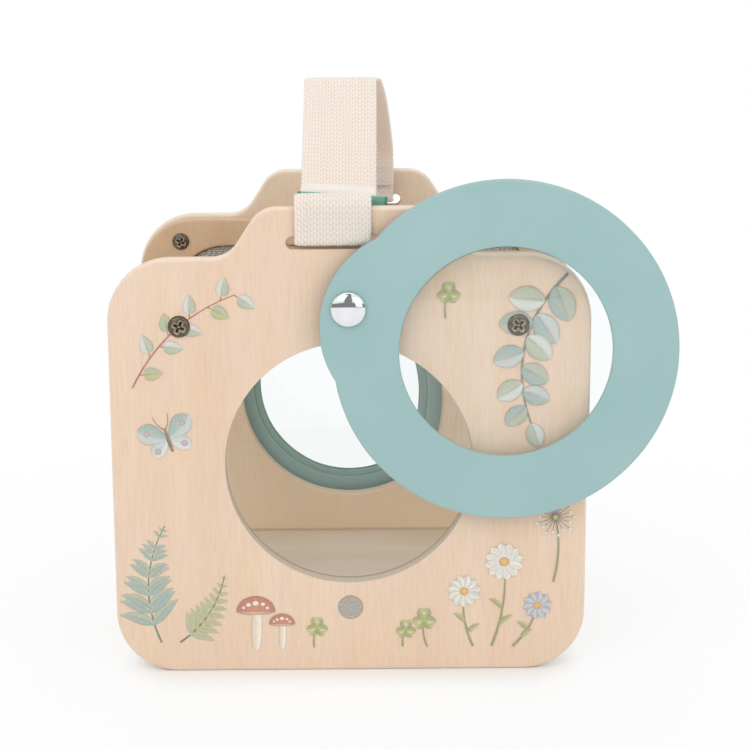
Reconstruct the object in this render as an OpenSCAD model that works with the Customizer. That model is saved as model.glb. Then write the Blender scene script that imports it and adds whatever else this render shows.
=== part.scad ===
// Bug viewer box: two wooden plates in the outline of a camera, joined by a floor board and two dowels,
// with a wire mesh canopy between them, a swinging ring lid with a lens on each plate and a webbing handle.
// +Z is up, the front faces -Y, and the origin is the middle of the front plate's bottom edge.

/* [Plates] */
// Width of the front and rear plates
plate_w = 153; // [145:1:175]
// Height of the plates' shoulders
shoulder_h = 137.5; // [134:0.5:150]
// Rise of the hump above the shoulders
hump_rise = 16; // [14:0.5:22]
// Width of the hump's flat top, between the centres of its rounded corners
hump_top_w = 44.4; // [42:0.2:56]
// Radius of the hump's rounded corners and of the hollows at its foot
hump_r = 10; // [7:0.5:11]
// Slope of the hump's flanks, in degrees
hump_slope = 57; // [50:1:62]
// Radius of the plates' four corners
corner_r = 20; // [14:1:22]
// Thickness of each plate
plate_t = 6; // [5:0.5:8]
// Depth of the box, between the outer faces of the plates
box_depth = 100; // [85:1:130]
// Radius of the round window in each plate
window_r = 40; // [37:0.1:43]

/* [Strap slots] */
// Length of the strap slot, end to end
slot_w = 39; // [36:0.5:42]
// Height of the strap slot
slot_h = 4.2; // [3.6:0.1:5]
// Distance from the hump's top down to the middle of the slot
slot_drop = 11; // [9:0.5:13]

/* [Rims] */
// Thickness of the wooden rim inside each plate
rim_t = 6; // [4:0.5:8]
// How far the rim's outline stands in from the plate's
rim_inset = 1; // [0.5:0.5:3]
// Width of the rim beside the canopy
rim_side = 11; // [8:0.5:14]
// Width of the rim above the canopy
rim_top = 9.8; // [8:0.1:12]
// Clearance between the rim and the canopy it holds
rim_fit = 0.2; // [0.1:0.05:0.4]

/* [Canopy] */
// Thickness of the wire mesh
mesh_t = 0.8; // [0.5:0.1:1.2]
// Outer radius of the canopy's two bends
canopy_r = 20; // [16:1:24]
// Clearance between the mesh and what it lies on
mesh_fit = 0.2; // [0.1:0.05:0.4]
// How far the mesh's lower edge stands above the floor board's underside
mesh_hem = 1; // [0.5:0.5:3]
// Openings of the plain grid that stands for the weave, along each straight stretch of the canopy
mesh_cells = 10; // [6:1:12]
// Openings of the grid round each of the canopy's bends
bend_cells = 3; // [2:1:4]
// Width of the bars between the grid's openings
mesh_bar = 1.2; // [0.8:0.1:2]

/* [Floor] */
// Thickness of the floor board
floor_t = 10; // [9:0.5:15]
// Height of the floor board's underside
floor_lift = 6; // [4:0.5:8]
// Diameter of the wooden pins that join the floor to the plates
pin_d = 6; // [4:0.5:8]
// Depth of the pin's socket in a plate
pin_in_plate = 4; // [2.5:0.5:4.5]
// Depth of the pin's socket in the floor board
pin_in_floor = 12; // [8:1:16]
// Distance from the middle of the floor to each pin
pin_x = 40; // [30:1:48]

/* [Dowels] */
// Diameter of the two dowels under the canopy's bends
dowel_d = 12; // [9:0.5:14]

/* [Staples] */
// Staples along each side of the floor board
staple_count = 4; // [3:1:5]
// Length of a staple's crown
staple_crown = 10; // [8:0.5:12]
// Thickness of the staple wire
staple_wire = 0.7; // [0.5:0.1:0.9]
// Depth that a staple's legs reach into the floor board
staple_leg = 5; // [3:0.5:7]

/* [Lids] */
// Outer radius of the lid ring
lid_r = 54.5; // [53:0.1:58]
// Radius of the lid's viewing hole
lid_hole_r = 33.6; // [30:0.1:35]
// Thickness of the lid
lid_t = 4; // [3.6:0.1:6]
// Radius of the ear at the lid's pivot
lid_ear_r = 31.2; // [26:0.1:36]
// How far the ear reaches past the pivot
lid_ear_out = 8.3; // [7.5:0.1:10]
// Gap between a plate and its lid
lid_gap = 2.6; // [2.5:0.1:4]
// Distance from a lid's pivot to the centre of its ring
lid_arm = 51.5; // [50.5:0.1:54]
// Opening angle of the front lid, from hanging straight down
lid_open = 74; // [0:1:150]
// How far a window's middle lies below the middle of its closed lid
window_drop = 0.7; // [0:0.1:2]
// End play of the lid on its pivot, at each face
lid_play = 0.1; // [0.05:0.05:0.3]

/* [Lenses] */
// Width of the seat that carries the lens round the viewing hole
lens_seat = 2.2; // [1.5:0.1:3]
// Thickness of the lip in front of the lens
lid_lip = 1.2; // [0.8:0.1:1.4]
// Thickness of the lens at its edge
lens_edge_t = 1.6; // [1.2:0.1:1.8]
// Radius of curvature of the lens's outer face
lens_curve = 196; // [150:1:400]
// Thickness of the ring that holds the lens in its seat
clip_t = 0.9; // [0.5:0.1:1]
// Width of the ring that holds the lens in its seat
clip_w = 1.8; // [1.2:0.1:2]
// Clearance of the lens and its ring in the lid
lens_fit = 0.1; // [0.05:0.05:0.3]

/* [Pivots] */
// Diameter of the rivet's shank
rivet_d = 4; // [3:0.1:5]
// Diameter of the rivet's domed head
rivet_head_d = 11.4; // [9:0.1:13]
// Height of the rivet's domed head
rivet_head_h = 2.6; // [1.8:0.1:3.5]
// Radial clearance of the lid, washers and plate on the rivet
pivot_fit = 0.06; // [0.02:0.01:0.1]
// Diameter of the spacer washer between plate and lid
spacer_d = 12; // [10:0.5:14]
// Diameter of the washer under the rivet's tail
tail_washer_d = 6.6; // [6:0.1:6.8]
// Thickness of the washer under the rivet's tail
tail_washer_t = 0.8; // [0.5:0.1:1.2]
// Height of the rivet's spread tail
tail_h = 0.6; // [0.4:0.1:1]

/* [Magnets] */
// Diameter of the magnets
magnet_d = 8; // [6:0.5:9]
// Thickness of the magnets
magnet_t = 2; // [1.5:0.1:3]
// Distance from the window's edge down to the middle of a plate's magnet
magnet_drop = 8.5; // [7:0.1:9.5]
// Radial clearance of a magnet in its pocket
magnet_fit = 0.05; // [0.02:0.01:0.1]

/* [Screws] */
// Diameter of the plate screws' heads
plate_head_d = 7.1; // [6:0.1:8]
// Height of the plate screws' heads
plate_head_h = 1.8; // [1.4:0.1:2.1]
// Diameter of the plate screws' shanks
plate_shank_d = 3.2; // [2.5:0.1:4]
// Length of the plate screws
plate_screw_l = 22; // [16:1:28]
// Diameter of the rim screws' heads
rim_head_d = 6.1; // [5:0.1:6.5]
// Height of the rim screws' heads
rim_head_h = 1.6; // [1.2:0.1:2.2]
// Diameter of the rim screws' shanks
rim_shank_d = 2.6; // [2:0.1:3]
// Depth that the rim screws reach into a plate
rim_screw_bite = 4; // [3:0.5:4.5]
// Distance of the upper rim screws from the plate's side
rim_screw_in = 15.6; // [13:0.1:18]
// Distance of the upper rim screws below the shoulders
rim_screw_down = 8.9; // [8:0.1:11]
// Height of the lower rim screws
rim_screw_low = 34; // [28:1:60]
// Radial clearance of a screw or pin in its hole
screw_fit = 0.05; // [0.02:0.01:0.1]
// Width of the cross recess in the screw heads
recess_w = 0.9; // [0.6:0.1:1.2]

/* [Strap] */
// Width of the cotton webbing
web_w = 24.2; // [20:0.2:26]
// Thickness of the webbing
web_t = 1.6; // [1.2:0.1:1.8]
// Clearance between the webbing and what it lies against
web_gap = 0.3; // [0.2:0.05:0.4]
// Height of a loop's top above the hump
loop_rise = 4.8; // [4.2:0.1:7]
// Height above the hump at which the handle's two legs would meet
handle_rise = 38.6; // [30:0.2:50]
// Radius of the webbing's bend at the handle's crest
crest_r = 5; // [4:0.5:10]
// Length of the handle's ends, sewn to the loops
handle_hem = 9; // [7:0.5:10]
// Length of the level run at the handle's front end
handle_shelf = 5.2; // [4.4:0.2:8]
// Sideways place of the front loop
front_loop_x = -4.6; // [-6:0.1:6]
// Sideways place of the handle's front end
handle_front_x = -2.8; // [-5:0.1:5]
// Sideways place of the handle's crest
handle_crest_x = -2; // [-5:0.1:5]
// Sideways place of the rear loop and of the handle's rear end
rear_loop_x = 4.6; // [-6:0.1:6]

/* [Ribbon tag] */
// Length of the ribbon tag sewn in at the front loop
tag_l = 28.8; // [24:0.2:32]
// Height of the ribbon tag
tag_h = 8; // [6:0.5:9]
// Thickness of the folded ribbon
tag_t = 1; // [0.6:0.1:1.4]
// Sideways place of the ribbon tag
tag_x = -1.8; // [-4:0.1:4]
// Height of the tag's upper edge above the hump
tag_rise = 3.2; // [2:0.1:4]
// Tilt of the tag and of the handle's front end, in degrees
tag_tilt = 4; // [0:0.5:6]

/* [Hidden] */
$fn = 96;

birch = [0.91, 0.81, 0.70];
shaded_birch = [0.77, 0.66, 0.55];
teal = [0.63, 0.76, 0.75];
steel = [0.70, 0.70, 0.69];
bronze = [0.22, 0.17, 0.11];
chrome = [0.86, 0.87, 0.89];
clear = [0.85, 0.93, 0.95, 0.4];
webbing = [0.95, 0.91, 0.87];
ribbon = [0.35, 0.60, 0.54];

// Faces of the plates along Y
front_y = -plate_t / 2;
front_in = front_y + plate_t;
rear_y = front_y + box_depth;
rear_in = rear_y - plate_t;

// The hump's outline: a hollow at its foot, a straight flank and a rounded corner on each side
hump_top = shoulder_h + hump_rise;
hump_x = hump_top_w / 2;
flank = (hump_rise - 2 * hump_r * (1 - cos(hump_slope))) / sin(hump_slope);
foot_x = hump_x + 2 * hump_r * sin(hump_slope) + flank * cos(hump_slope);
slot_z = hump_top - slot_drop;

// The canopy and what lies under and round it
canopy_x = plate_w / 2 - rim_inset - rim_side;
roof_z = shoulder_h - rim_inset - rim_top;
floor_x = canopy_x - mesh_t - mesh_fit;
pin_z = floor_lift + floor_t / 2;
bend_in = (canopy_r - mesh_t - mesh_fit - dowel_d / 2) * cos(45);
dowel_x = canopy_x - canopy_r + bend_in;
dowel_z = roof_z - canopy_r + bend_in;
dowel_l = rear_in - front_in;
low_screw_x = plate_w / 2 - rim_inset - rim_side / 2;
high_screw_x = plate_w / 2 - rim_screw_in;
high_screw_z = shoulder_h - rim_screw_down;

// The pivot's tail washer fits under the canopy's roof, and the window lies behind the hanging lid's ring
pivot_z = roof_z - mesh_t - mesh_fit - tail_washer_d / 2;
window_z = pivot_z - lid_arm - window_drop;
magnet_z = window_z - window_r - magnet_drop;
lens_r = lid_hole_r + lens_seat;
dome_r = lid_hole_r - lens_fit;
lens_sag = lens_curve - sqrt(lens_curve * lens_curve - dome_r * dome_r);
lens_front = lid_t - lid_lip;
magnet_arm = pivot_z - magnet_z;

// A cut or a solid runs this far past a face it passes through
past = 1;

// Places local parts on the front plate and, turned about Z, on the rear plate:
// y = 0 is the plate's outer face and +y points into the box
module at_front() {
    translate([0, front_y, 0]) children();
}
module at_rear() {
    translate([0, rear_y, 0]) rotate([0, 0, 180]) children();
}

// Solid from an outline in X and Z, between two places along Y
module slab(y0, y1) {
    translate([0, y1, 0]) rotate([90, 0, 0]) linear_extrude(y1 - y0) children();
}

// Cylinder along Y
module peg(x, z, d, y0, y1) {
    translate([x, y0, z]) rotate([-90, 0, 0]) cylinder(d = d, h = y1 - y0);
}

// Rectangle with round corners, about x = 0
module rounded_box(half_w, z0, z1, r) {
    translate([-half_w, z0 + r]) square([2 * half_w, z1 - z0 - 2 * r]);
    translate([-half_w + r, z0]) square([2 * half_w - 2 * r, z1 - z0]);
    for (sx = [-1, 1], z = [z0 + r, z1 - r]) translate([sx * (half_w - r), z]) circle(r);
}

// Arch with a flat roof and two round bends, open below
module arch(half_w, z0, z1, r) {
    translate([-half_w, z0]) square([2 * half_w, z1 - r - z0]);
    translate([-half_w + r, z0]) square([2 * half_w - 2 * r, z1 - z0]);
    for (sx = [-1, 1]) translate([sx * (half_w - r), z1 - r]) circle(r);
}

// The hump on top of a plate
module hump() {
    low = shoulder_h - hump_r;
    lean = [sin(hump_slope), cos(hump_slope)] * hump_r;
    side = [[foot_x, low], [foot_x, shoulder_h], [foot_x - lean.x, shoulder_h + hump_r - lean.y],
        [hump_x + lean.x, hump_top - hump_r + lean.y], [hump_x, hump_top - hump_r]];
    difference() {
        union() {
            polygon(concat(side, [for (i = [4 : -1 : 0]) [-side[i].x, side[i].y]]));
            translate([-hump_x, low]) square([2 * hump_x, hump_top - low]);
            for (sx = [-1, 1]) translate([sx * hump_x, hump_top - hump_r]) circle(hump_r);
        }
        for (sx = [-1, 1]) translate([sx * foot_x, shoulder_h + hump_r]) circle(hump_r);
    }
}

// The plate's outline with its window and strap slot
module plate_outline() {
    difference() {
        union() {
            rounded_box(plate_w / 2, 0, shoulder_h, corner_r);
            hump();
        }
        translate([0, window_z]) circle(window_r);
        translate([0, slot_z]) {
            square([slot_w - slot_h, slot_h], center = true);
            for (sx = [-1, 1]) translate([sx * (slot_w - slot_h) / 2, 0]) circle(slot_h / 2);
        }
    }
}

// A plate with the holes for its pivot, magnet, screws and pins
module plate() {
    difference() {
        slab(0, plate_t) plate_outline();
        peg(0, pivot_z, rivet_d + 2 * pivot_fit, -past, plate_t + past);
        peg(0, magnet_z, magnet_d + 2 * magnet_fit, -past, magnet_t);
        for (sx = [-1, 1]) {
            peg(sx * dowel_x, dowel_z, plate_shank_d + 2 * screw_fit, -past, plate_t + past);
            peg(sx * pin_x, pin_z, pin_d + 2 * screw_fit, plate_t - pin_in_plate, plate_t + past);
        }
        for (at = rim_screw_places()) {
            peg(at.x, at.y, rim_shank_d + 2 * screw_fit, plate_t - rim_screw_bite, plate_t + past);
        }
    }
}

// Places of a rim's four screws, in X and Z
function rim_screw_places() = [
    for (sx = [-1, 1], at = [[high_screw_x, high_screw_z], [low_screw_x, rim_screw_low]]) [sx * at.x, at.y]];

// The rim inside a plate: it holds the canopy's end and carries the floor board on its lower bar
module rim() {
    difference() {
        slab(plate_t, plate_t + rim_t) difference() {
            rounded_box(plate_w / 2 - rim_inset, rim_inset, shoulder_h - rim_inset, corner_r - rim_inset);
            arch(canopy_x + rim_fit, floor_lift, roof_z + rim_fit, canopy_r + rim_fit);
        }
        for (at = rim_screw_places()) {
            peg(at.x, at.y, rim_shank_d + 2 * screw_fit, plate_t - past, plate_t + rim_t + past);
        }
    }
}

// Low domed head: its underside at z = 0 and its crown at z = -h
module dome(d, h, edge) {
    cap = h - edge;
    ball = (d * d / 4 + cap * cap) / (2 * cap);
    translate([0, 0, -edge]) cylinder(d = d, h = edge);
    intersection() {
        translate([0, 0, ball - h]) sphere(ball, $fn = 180);
        translate([0, 0, -h]) cylinder(d = d, h = cap);
    }
}

// Screw with a domed head and a cross recess, pointing along +y from the seat of its head
module screw(head_d, head_h, shank_d, l) {
    rotate([-90, 0, 0]) {
        difference() {
            dome(head_d, head_h, head_h / 4);
            for (turn = [0, 90]) rotate(turn) {
                translate([0, 0, -head_h]) cube([head_d * 0.55, recess_w, head_h * 1.2], center = true);
            }
        }
        cylinder(d = shank_d, h = l);
    }
}

// The two screws through a plate into the dowels' ends
module plate_screws() {
    for (sx = [-1, 1]) translate([sx * dowel_x, 0, dowel_z]) {
        screw(plate_head_d, plate_head_h, plate_shank_d, plate_screw_l);
    }
}

// The four screws that hold a rim on its plate, driven from inside the box
module rim_screws() {
    for (at = rim_screw_places()) translate([at.x, plate_t + rim_t, at.y]) rotate([0, 0, 180]) {
        screw(rim_head_d, rim_head_h, rim_shank_d, rim_t + rim_screw_bite - screw_fit);
    }
}

// A dowel between the plates, with the pilot holes of the plate screws
module dowel(side) {
    pilot = plate_screw_l - plate_t + screw_fit;
    difference() {
        peg(side * dowel_x, dowel_z, dowel_d, front_in, rear_in);
        peg(side * dowel_x, dowel_z, plate_shank_d + 2 * screw_fit, front_in - past, front_in + pilot);
        peg(side * dowel_x, dowel_z, plate_shank_d + 2 * screw_fit, rear_in - pilot, rear_in + past);
    }
}

// The floor board with the sockets of its pins
module floor_solid() {
    difference() {
        translate([-floor_x, front_in, floor_lift]) cube([2 * floor_x, dowel_l, floor_t]);
        for (sx = [-1, 1]) {
            peg(sx * pin_x, pin_z, pin_d + 2 * screw_fit, front_in - past, front_in + pin_in_floor);
            peg(sx * pin_x, pin_z, pin_d + 2 * screw_fit, rear_in - pin_in_floor, rear_in + past);
        }
    }
}

// The wooden pins between floor and plates
module pins() {
    length = pin_in_plate + pin_in_floor - 2 * screw_fit;
    for (sx = [-1, 1], y = [front_in - pin_in_plate, rear_in - pin_in_floor]) {
        peg(sx * pin_x, pin_z, pin_d, y + screw_fit, y + screw_fit + length);
    }
}

// The wire mesh, bent over the dowels, with its edges on the floor board's sides and a grid of openings
module canopy() {
    hem_z = floor_lift + mesh_hem;
    difference() {
        slab(front_in + mesh_fit, rear_in - mesh_fit) difference() {
            arch(canopy_x, hem_z, roof_z, canopy_r);
            arch(canopy_x - mesh_t, hem_z - past, roof_z - mesh_t, canopy_r - mesh_t);
        }
        canopy_openings();
    }
}

// The openings between the rims: through both legs, through the roof and round the two bends
module canopy_openings() {
    y0 = front_in + rim_t;
    cell_y = (rear_in - rim_t - y0) / mesh_cells;
    floor_top = floor_lift + floor_t;
    cell_z = (roof_z - canopy_r - floor_top) / mesh_cells;
    cell_x = 2 * (canopy_x - canopy_r) / mesh_cells;
    turn = 90 / bend_cells;
    bend_w = 2 * canopy_r * sin(turn / 2) - mesh_bar;
    for (i = [0 : mesh_cells - 1]) translate([0, y0 + i * cell_y + mesh_bar / 2, 0]) {
        for (j = [0 : mesh_cells - 1]) {
            translate([-canopy_x - past, 0, floor_top + j * cell_z + mesh_bar / 2]) {
                cube([2 * canopy_x + 2 * past, cell_y - mesh_bar, cell_z - mesh_bar]);
            }
            translate([canopy_r - canopy_x + j * cell_x + mesh_bar / 2, 0, roof_z - mesh_t - past]) {
                cube([cell_x - mesh_bar, cell_y - mesh_bar, mesh_t + 2 * past]);
            }
        }
        for (sx = [-1, 1], k = [0 : bend_cells - 1]) {
            translate([sx * (canopy_x - canopy_r), 0, roof_z - canopy_r]) rotate([0, sx * (k + 0.5) * turn, 0]) {
                translate([-bend_w / 2, 0, canopy_r / 2]) cube([bend_w, cell_y - mesh_bar, canopy_r]);
            }
        }
    }
}

// Staples over the mesh, with their legs in the floor board
module staples() {
    first = front_in + rim_t + staple_crown;
    pitch = (rear_in - rim_t - staple_crown - first) / (staple_count - 1);
    reach = canopy_x - floor_x + staple_leg;
    for (sx = [-1, 1], i = [0 : staple_count - 1]) {
        translate([sx * canopy_x, first + i * pitch, pin_z]) rotate(sx > 0 ? 0 : 180) staple(reach);
    }
}

// One staple: its crown stands outside x = 0 and its legs reach inwards
module staple(reach) {
    translate([0, -staple_crown / 2, -staple_wire / 2]) cube([staple_wire, staple_crown, staple_wire]);
    for (y = [-staple_crown / 2, staple_crown / 2 - staple_wire]) translate([-reach, y, -staple_wire / 2]) {
        cube([reach + staple_wire / 2, staple_wire, staple_wire]);
    }
}

// The rivet: domed head outside the lid, shank through lid and plate, spread tail inside
module rivet() {
    stack = lid_play + lid_t + lid_gap + plate_t + tail_washer_t;
    translate([0, plate_t + tail_washer_t - stack, pivot_z]) rotate([-90, 0, 0]) {
        dome(rivet_head_d, rivet_head_h, rivet_head_h / 6);
        cylinder(d = rivet_d, h = stack + tail_h);
        translate([0, 0, stack]) cylinder(d = (rivet_d + tail_washer_d) / 2, h = tail_h);
    }
}

// Flat washer on the rivet, between two places along y
module washer(d, y0, y1) {
    difference() {
        peg(0, pivot_z, d, y0, y1);
        peg(0, pivot_z, rivet_d + 2 * pivot_fit, y0 - past, y1 + past);
    }
}

// The spacer between plate and lid, and the washer under the rivet's tail
module spacer() {
    washer(spacer_d, lid_play - lid_gap, 0);
}
module tail_washer() {
    washer(tail_washer_d, plate_t, plate_t + tail_washer_t);
}

// Hangs a lid's own parts from the pivot of a plate, opened by an angle:
// their y = 0 is the lid's face towards the plate and the ring's centre lies straight below
module hang(angle) {
    translate([0, -lid_gap, pivot_z]) rotate([0, -angle, 0]) children();
}

// The lid ring: the ear's wide round joins the ring in two soft corners, lens seat and magnet pocket behind
module lid() {
    difference() {
        slab(-lid_t, 0) {
            translate([0, -lid_arm]) circle(lid_r, $fn = 180);
            translate([0, lid_ear_out - lid_ear_r]) circle(lid_ear_r, $fn = 180);
        }
        peg(0, -lid_arm, 2 * lid_hole_r, -lid_t - past, past);
        peg(0, -lid_arm, 2 * (lens_r + lens_fit), -lens_front, past);
        peg(0, 0, rivet_d + 2 * pivot_fit, -lid_t - past, past);
        peg(0, -magnet_arm, magnet_d + 2 * magnet_fit, -magnet_t, past);
    }
}

// The lens: flat behind, domed in front, with a flange in the lid's seat
module lens() {
    translate([0, -lens_front, -lid_arm]) rotate([-90, 0, 0]) {
        dome(2 * dome_r, lens_sag + lid_lip / 2, lid_lip / 2);
        cylinder(r = lens_r, h = lens_edge_t);
    }
}

// The ring that holds the lens in its seat
module lens_clip() {
    back = lens_edge_t - lens_front;
    difference() {
        peg(0, -lid_arm, 2 * lens_r, back, back + clip_t);
        peg(0, -lid_arm, 2 * (lens_r - clip_w), back - past, back + clip_t + past);
    }
}

// The magnet flush in a plate and the one flush in a lid's back
module plate_magnet() {
    peg(0, magnet_z, magnet_d, 0, magnet_t);
}
module lid_magnet() {
    peg(0, -magnet_arm, magnet_d, -magnet_t, 0);
}

// A closed loop of webbing round the bar above a plate's slot, in the plate's own place
module strap_loop(x) {
    inner = plate_t / 2 + web_gap;
    foot = slot_z + slot_h / 2 - web_gap;
    crown = hump_top + loop_rise - web_t - inner;
    translate([x - web_w / 2, plate_t / 2, 0]) rotate([90, 0, 90]) linear_extrude(web_w) difference() {
        loop_outline(inner + web_t, foot - web_t, crown, web_gap + web_t);
        loop_outline(inner, foot, crown, web_gap);
    }
}

// Upright outline with a round top and two round lower corners
module loop_outline(half_w, z0, crown, r) {
    translate([0, crown]) circle(half_w);
    translate([-half_w, z0 + r]) square([2 * half_w, crown - z0 - r]);
    translate([-half_w + r, z0]) square([2 * half_w - 2 * r, r]);
    for (s = [-1, 1]) translate([s * (half_w - r), z0 + r]) circle(r);
}

// The handle's route in Y and Z, as corners with the radius of each bend:
// front end behind the tag, level run, front leg, crest, rear leg, rear end before the rear loop
web_layer = web_t + web_gap;
front_end_y = front_in + web_gap + web_layer + tag_t + web_gap + web_t / 2;
rear_end_y = rear_in - web_gap - web_layer - web_t / 2;
shelf_z = hump_top + loop_rise - web_t / 2 - web_gap / 2;
crest = [(front_y + rear_y) / 2, hump_top + handle_rise - web_t / 2];
web_corners = [
    [[front_end_y, shelf_z - handle_hem], 0],
    [[front_end_y, shelf_z], web_layer],
    [[front_end_y + handle_shelf, shelf_z], 2 * web_layer],
    [crest, crest_r],
    [[rear_end_y, shelf_z + 2 * web_t], 3 * web_layer],
    [[rear_end_y, shelf_z - handle_hem], 0]];
bend_steps = 8;

function unit(v) = v / norm(v);

// Points of one corner: the corner itself at an end, or an arc tangent to both of its legs
function corner_points(list, i) =
    let (p = list[i][0], r = list[i][1])
    r == 0 ? [p] :
    let (a = unit(list[i - 1][0] - p), b = unit(list[i + 1][0] - p),
        half = acos(a * b) / 2, centre = p + unit(a + b) * r / sin(half),
        cut = r / tan(half), u = unit(p + a * cut - centre), v = unit(p + b * cut - centre),
        turn = acos(u * v))
    [for (k = [0 : bend_steps]) let (q = turn * k / bend_steps)
        centre + r * (sin(turn - q) * u + sin(q) * v) / sin(turn)];

web_line = [for (i = [0 : len(web_corners) - 1]) each corner_points(web_corners, i)];
web_last = len(web_line) - 1;

// Share of the way from the front end to the crest, and from the crest to the rear end
function front_share(p) = min(1, (p.x - front_end_y) / (crest.x - front_end_y));
function rear_share(p) = max(0, (p.x - crest.x) / (rear_end_y - crest.x));

// Sideways place of the handle at a point of its route
function web_x(p) = handle_front_x + (handle_crest_x - handle_front_x) * front_share(p)
    + (rear_loop_x - handle_crest_x) * sqrt(rear_share(p));

// The four corners of the webbing's section at point i; the front end leans with the tag
function web_section(i) =
    let (p = web_line[i], t = unit(web_line[min(i + 1, web_last)] - web_line[max(i - 1, 0)]),
        n = [-t.y, t.x] * web_t / 2, lean = tan(tag_tilt) * (1 - front_share(p)) * web_w / 2)
    [for (s = [[-1, -1], [1, -1], [1, 1], [-1, 1]])
        [web_x(p) + s.x * web_w / 2, p.x + s.y * n.x, p.y + s.y * n.y - s.x * lean]];

// The handle: one flat band along the whole route
module handle() {
    points = [for (i = [0 : web_last]) each web_section(i)];
    sides = [for (i = [0 : web_last - 1], k = [0 : 3])
        let (a = 4 * i + k, b = 4 * i + (k + 1) % 4) each [[a, b, b + 4], [a, b + 4, a + 4]]];
    last = 4 * web_last;
    ends = [[0, 2, 1], [0, 3, 2], [last, last + 1, last + 2], [last, last + 2, last + 3]];
    polyhedron(points = points, faces = concat(sides, ends));
}

// The ribbon tag, sewn between the front loop and the handle's end and tilted in its own plane
module tag() {
    translate([tag_x, front_in + web_gap + web_layer + tag_t / 2, hump_top + tag_rise - tag_h / 2]) {
        rotate([0, tag_tilt, 0]) cube([tag_l, tag_t, tag_h], center = true);
    }
}

module front_plate() { color(birch) at_front() plate(); }
module rear_plate() { color(birch) at_rear() plate(); }
module front_rim() { color(shaded_birch) at_front() rim(); }
module rear_rim() { color(shaded_birch) at_rear() rim(); }
module floor_board() { color(shaded_birch) floor_solid(); }
module left_dowel() { color(shaded_birch) dowel(-1); }
module right_dowel() { color(shaded_birch) dowel(1); }
module mesh_canopy() { color(steel) canopy(); }
module mesh_staples() { color(steel) staples(); }
module floor_pins() { color(shaded_birch) pins(); }
module front_plate_screws() { color(bronze) at_front() plate_screws(); }
module rear_plate_screws() { color(bronze) at_rear() plate_screws(); }
module front_rim_screws() { color(bronze) at_front() rim_screws(); }
module rear_rim_screws() { color(bronze) at_rear() rim_screws(); }
module front_plate_magnet() { color(steel) at_front() plate_magnet(); }
module rear_plate_magnet() { color(steel) at_rear() plate_magnet(); }
module front_rivet() { color(chrome) at_front() rivet(); }
module front_spacer() { color(steel) at_front() spacer(); }
module front_tail_washer() { color(steel) at_front() tail_washer(); }
module rear_rivet() { color(chrome) at_rear() rivet(); }
module rear_spacer() { color(steel) at_rear() spacer(); }
module rear_tail_washer() { color(steel) at_rear() tail_washer(); }
module front_lid() { color(teal) at_front() hang(lid_open) lid(); }
module front_lens() { color(clear) at_front() hang(lid_open) lens(); }
module front_lens_clip() { color(steel) at_front() hang(lid_open) lens_clip(); }
module front_lid_magnet() { color(steel) at_front() hang(lid_open) lid_magnet(); }
module rear_lid() { color(teal) at_rear() hang(0) lid(); }
module rear_lens() { color(clear) at_rear() hang(0) lens(); }
module rear_lens_clip() { color(steel) at_rear() hang(0) lens_clip(); }
module rear_lid_magnet() { color(steel) at_rear() hang(0) lid_magnet(); }
module front_strap_loop() { color(webbing) at_front() strap_loop(front_loop_x); }
module rear_strap_loop() { color(webbing) at_rear() strap_loop(-rear_loop_x); }
module handle_strap() { color(webbing) handle(); }
module strap_tag() { color(ribbon) tag(); }

front_plate();
rear_plate();
front_rim();
rear_rim();
floor_board();
left_dowel();
right_dowel();
mesh_canopy();
mesh_staples();
floor_pins();
front_plate_screws();
rear_plate_screws();
front_rim_screws();
rear_rim_screws();
front_plate_magnet();
rear_plate_magnet();
front_rivet();
front_spacer();
front_tail_washer();
rear_rivet();
rear_spacer();
rear_tail_washer();
front_lid();
front_lens();
front_lens_clip();
front_lid_magnet();
rear_lid();
rear_lens();
rear_lens_clip();
rear_lid_magnet();
front_strap_loop();
rear_strap_loop();
handle_strap();
strap_tag();
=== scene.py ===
"""Looks of the bug viewer box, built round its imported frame.

Wooden plates with a printed face, teal ring lids with lenses, a woven wire canopy and a cotton webbing handle.
All lengths are metres in the frame's own axes: +Z up, front towards -Y, origin under the front plate.
"""

import bpy
import numpy as np
from mathutils import Matrix, Vector
from mathutils.geometry import delaunay_2d_cdt


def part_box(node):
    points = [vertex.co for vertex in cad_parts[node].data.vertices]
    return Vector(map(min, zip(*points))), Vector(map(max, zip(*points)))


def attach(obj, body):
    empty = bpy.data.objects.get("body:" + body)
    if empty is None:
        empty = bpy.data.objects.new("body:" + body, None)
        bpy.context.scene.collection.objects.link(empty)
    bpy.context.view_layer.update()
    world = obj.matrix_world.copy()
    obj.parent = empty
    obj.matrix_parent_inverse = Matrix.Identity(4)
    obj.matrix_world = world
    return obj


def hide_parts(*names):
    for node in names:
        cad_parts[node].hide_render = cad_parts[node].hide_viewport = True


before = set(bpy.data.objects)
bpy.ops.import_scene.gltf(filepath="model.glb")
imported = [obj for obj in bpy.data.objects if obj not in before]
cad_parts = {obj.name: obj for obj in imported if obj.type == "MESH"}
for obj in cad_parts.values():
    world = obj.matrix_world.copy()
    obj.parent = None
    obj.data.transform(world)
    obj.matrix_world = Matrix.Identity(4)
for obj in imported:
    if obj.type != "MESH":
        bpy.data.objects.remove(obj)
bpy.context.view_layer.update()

MM = 0.001
TURN = 2 * np.pi


# Sizes that the frame's boxes give

def span(node, axis):
    """Lowest and highest place of a CAD node along one axis, 0 for X, 1 for Y and 2 for Z."""
    low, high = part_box(node)
    return low[axis], high[axis]


def middle(node):
    """Centre of a CAD node's box as an array."""
    low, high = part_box(node)
    return (np.array(low) + np.array(high)) / 2


def extent(node, axis):
    """Length of a CAD node's box along one axis."""
    low, high = span(node, axis)
    return high - low


def ends(node, out):
    """Outer and inner end of a CAD node along Y; out is -1 where its outer end looks to the front, else 1."""
    return span(node, 1)[::-out]


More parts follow.
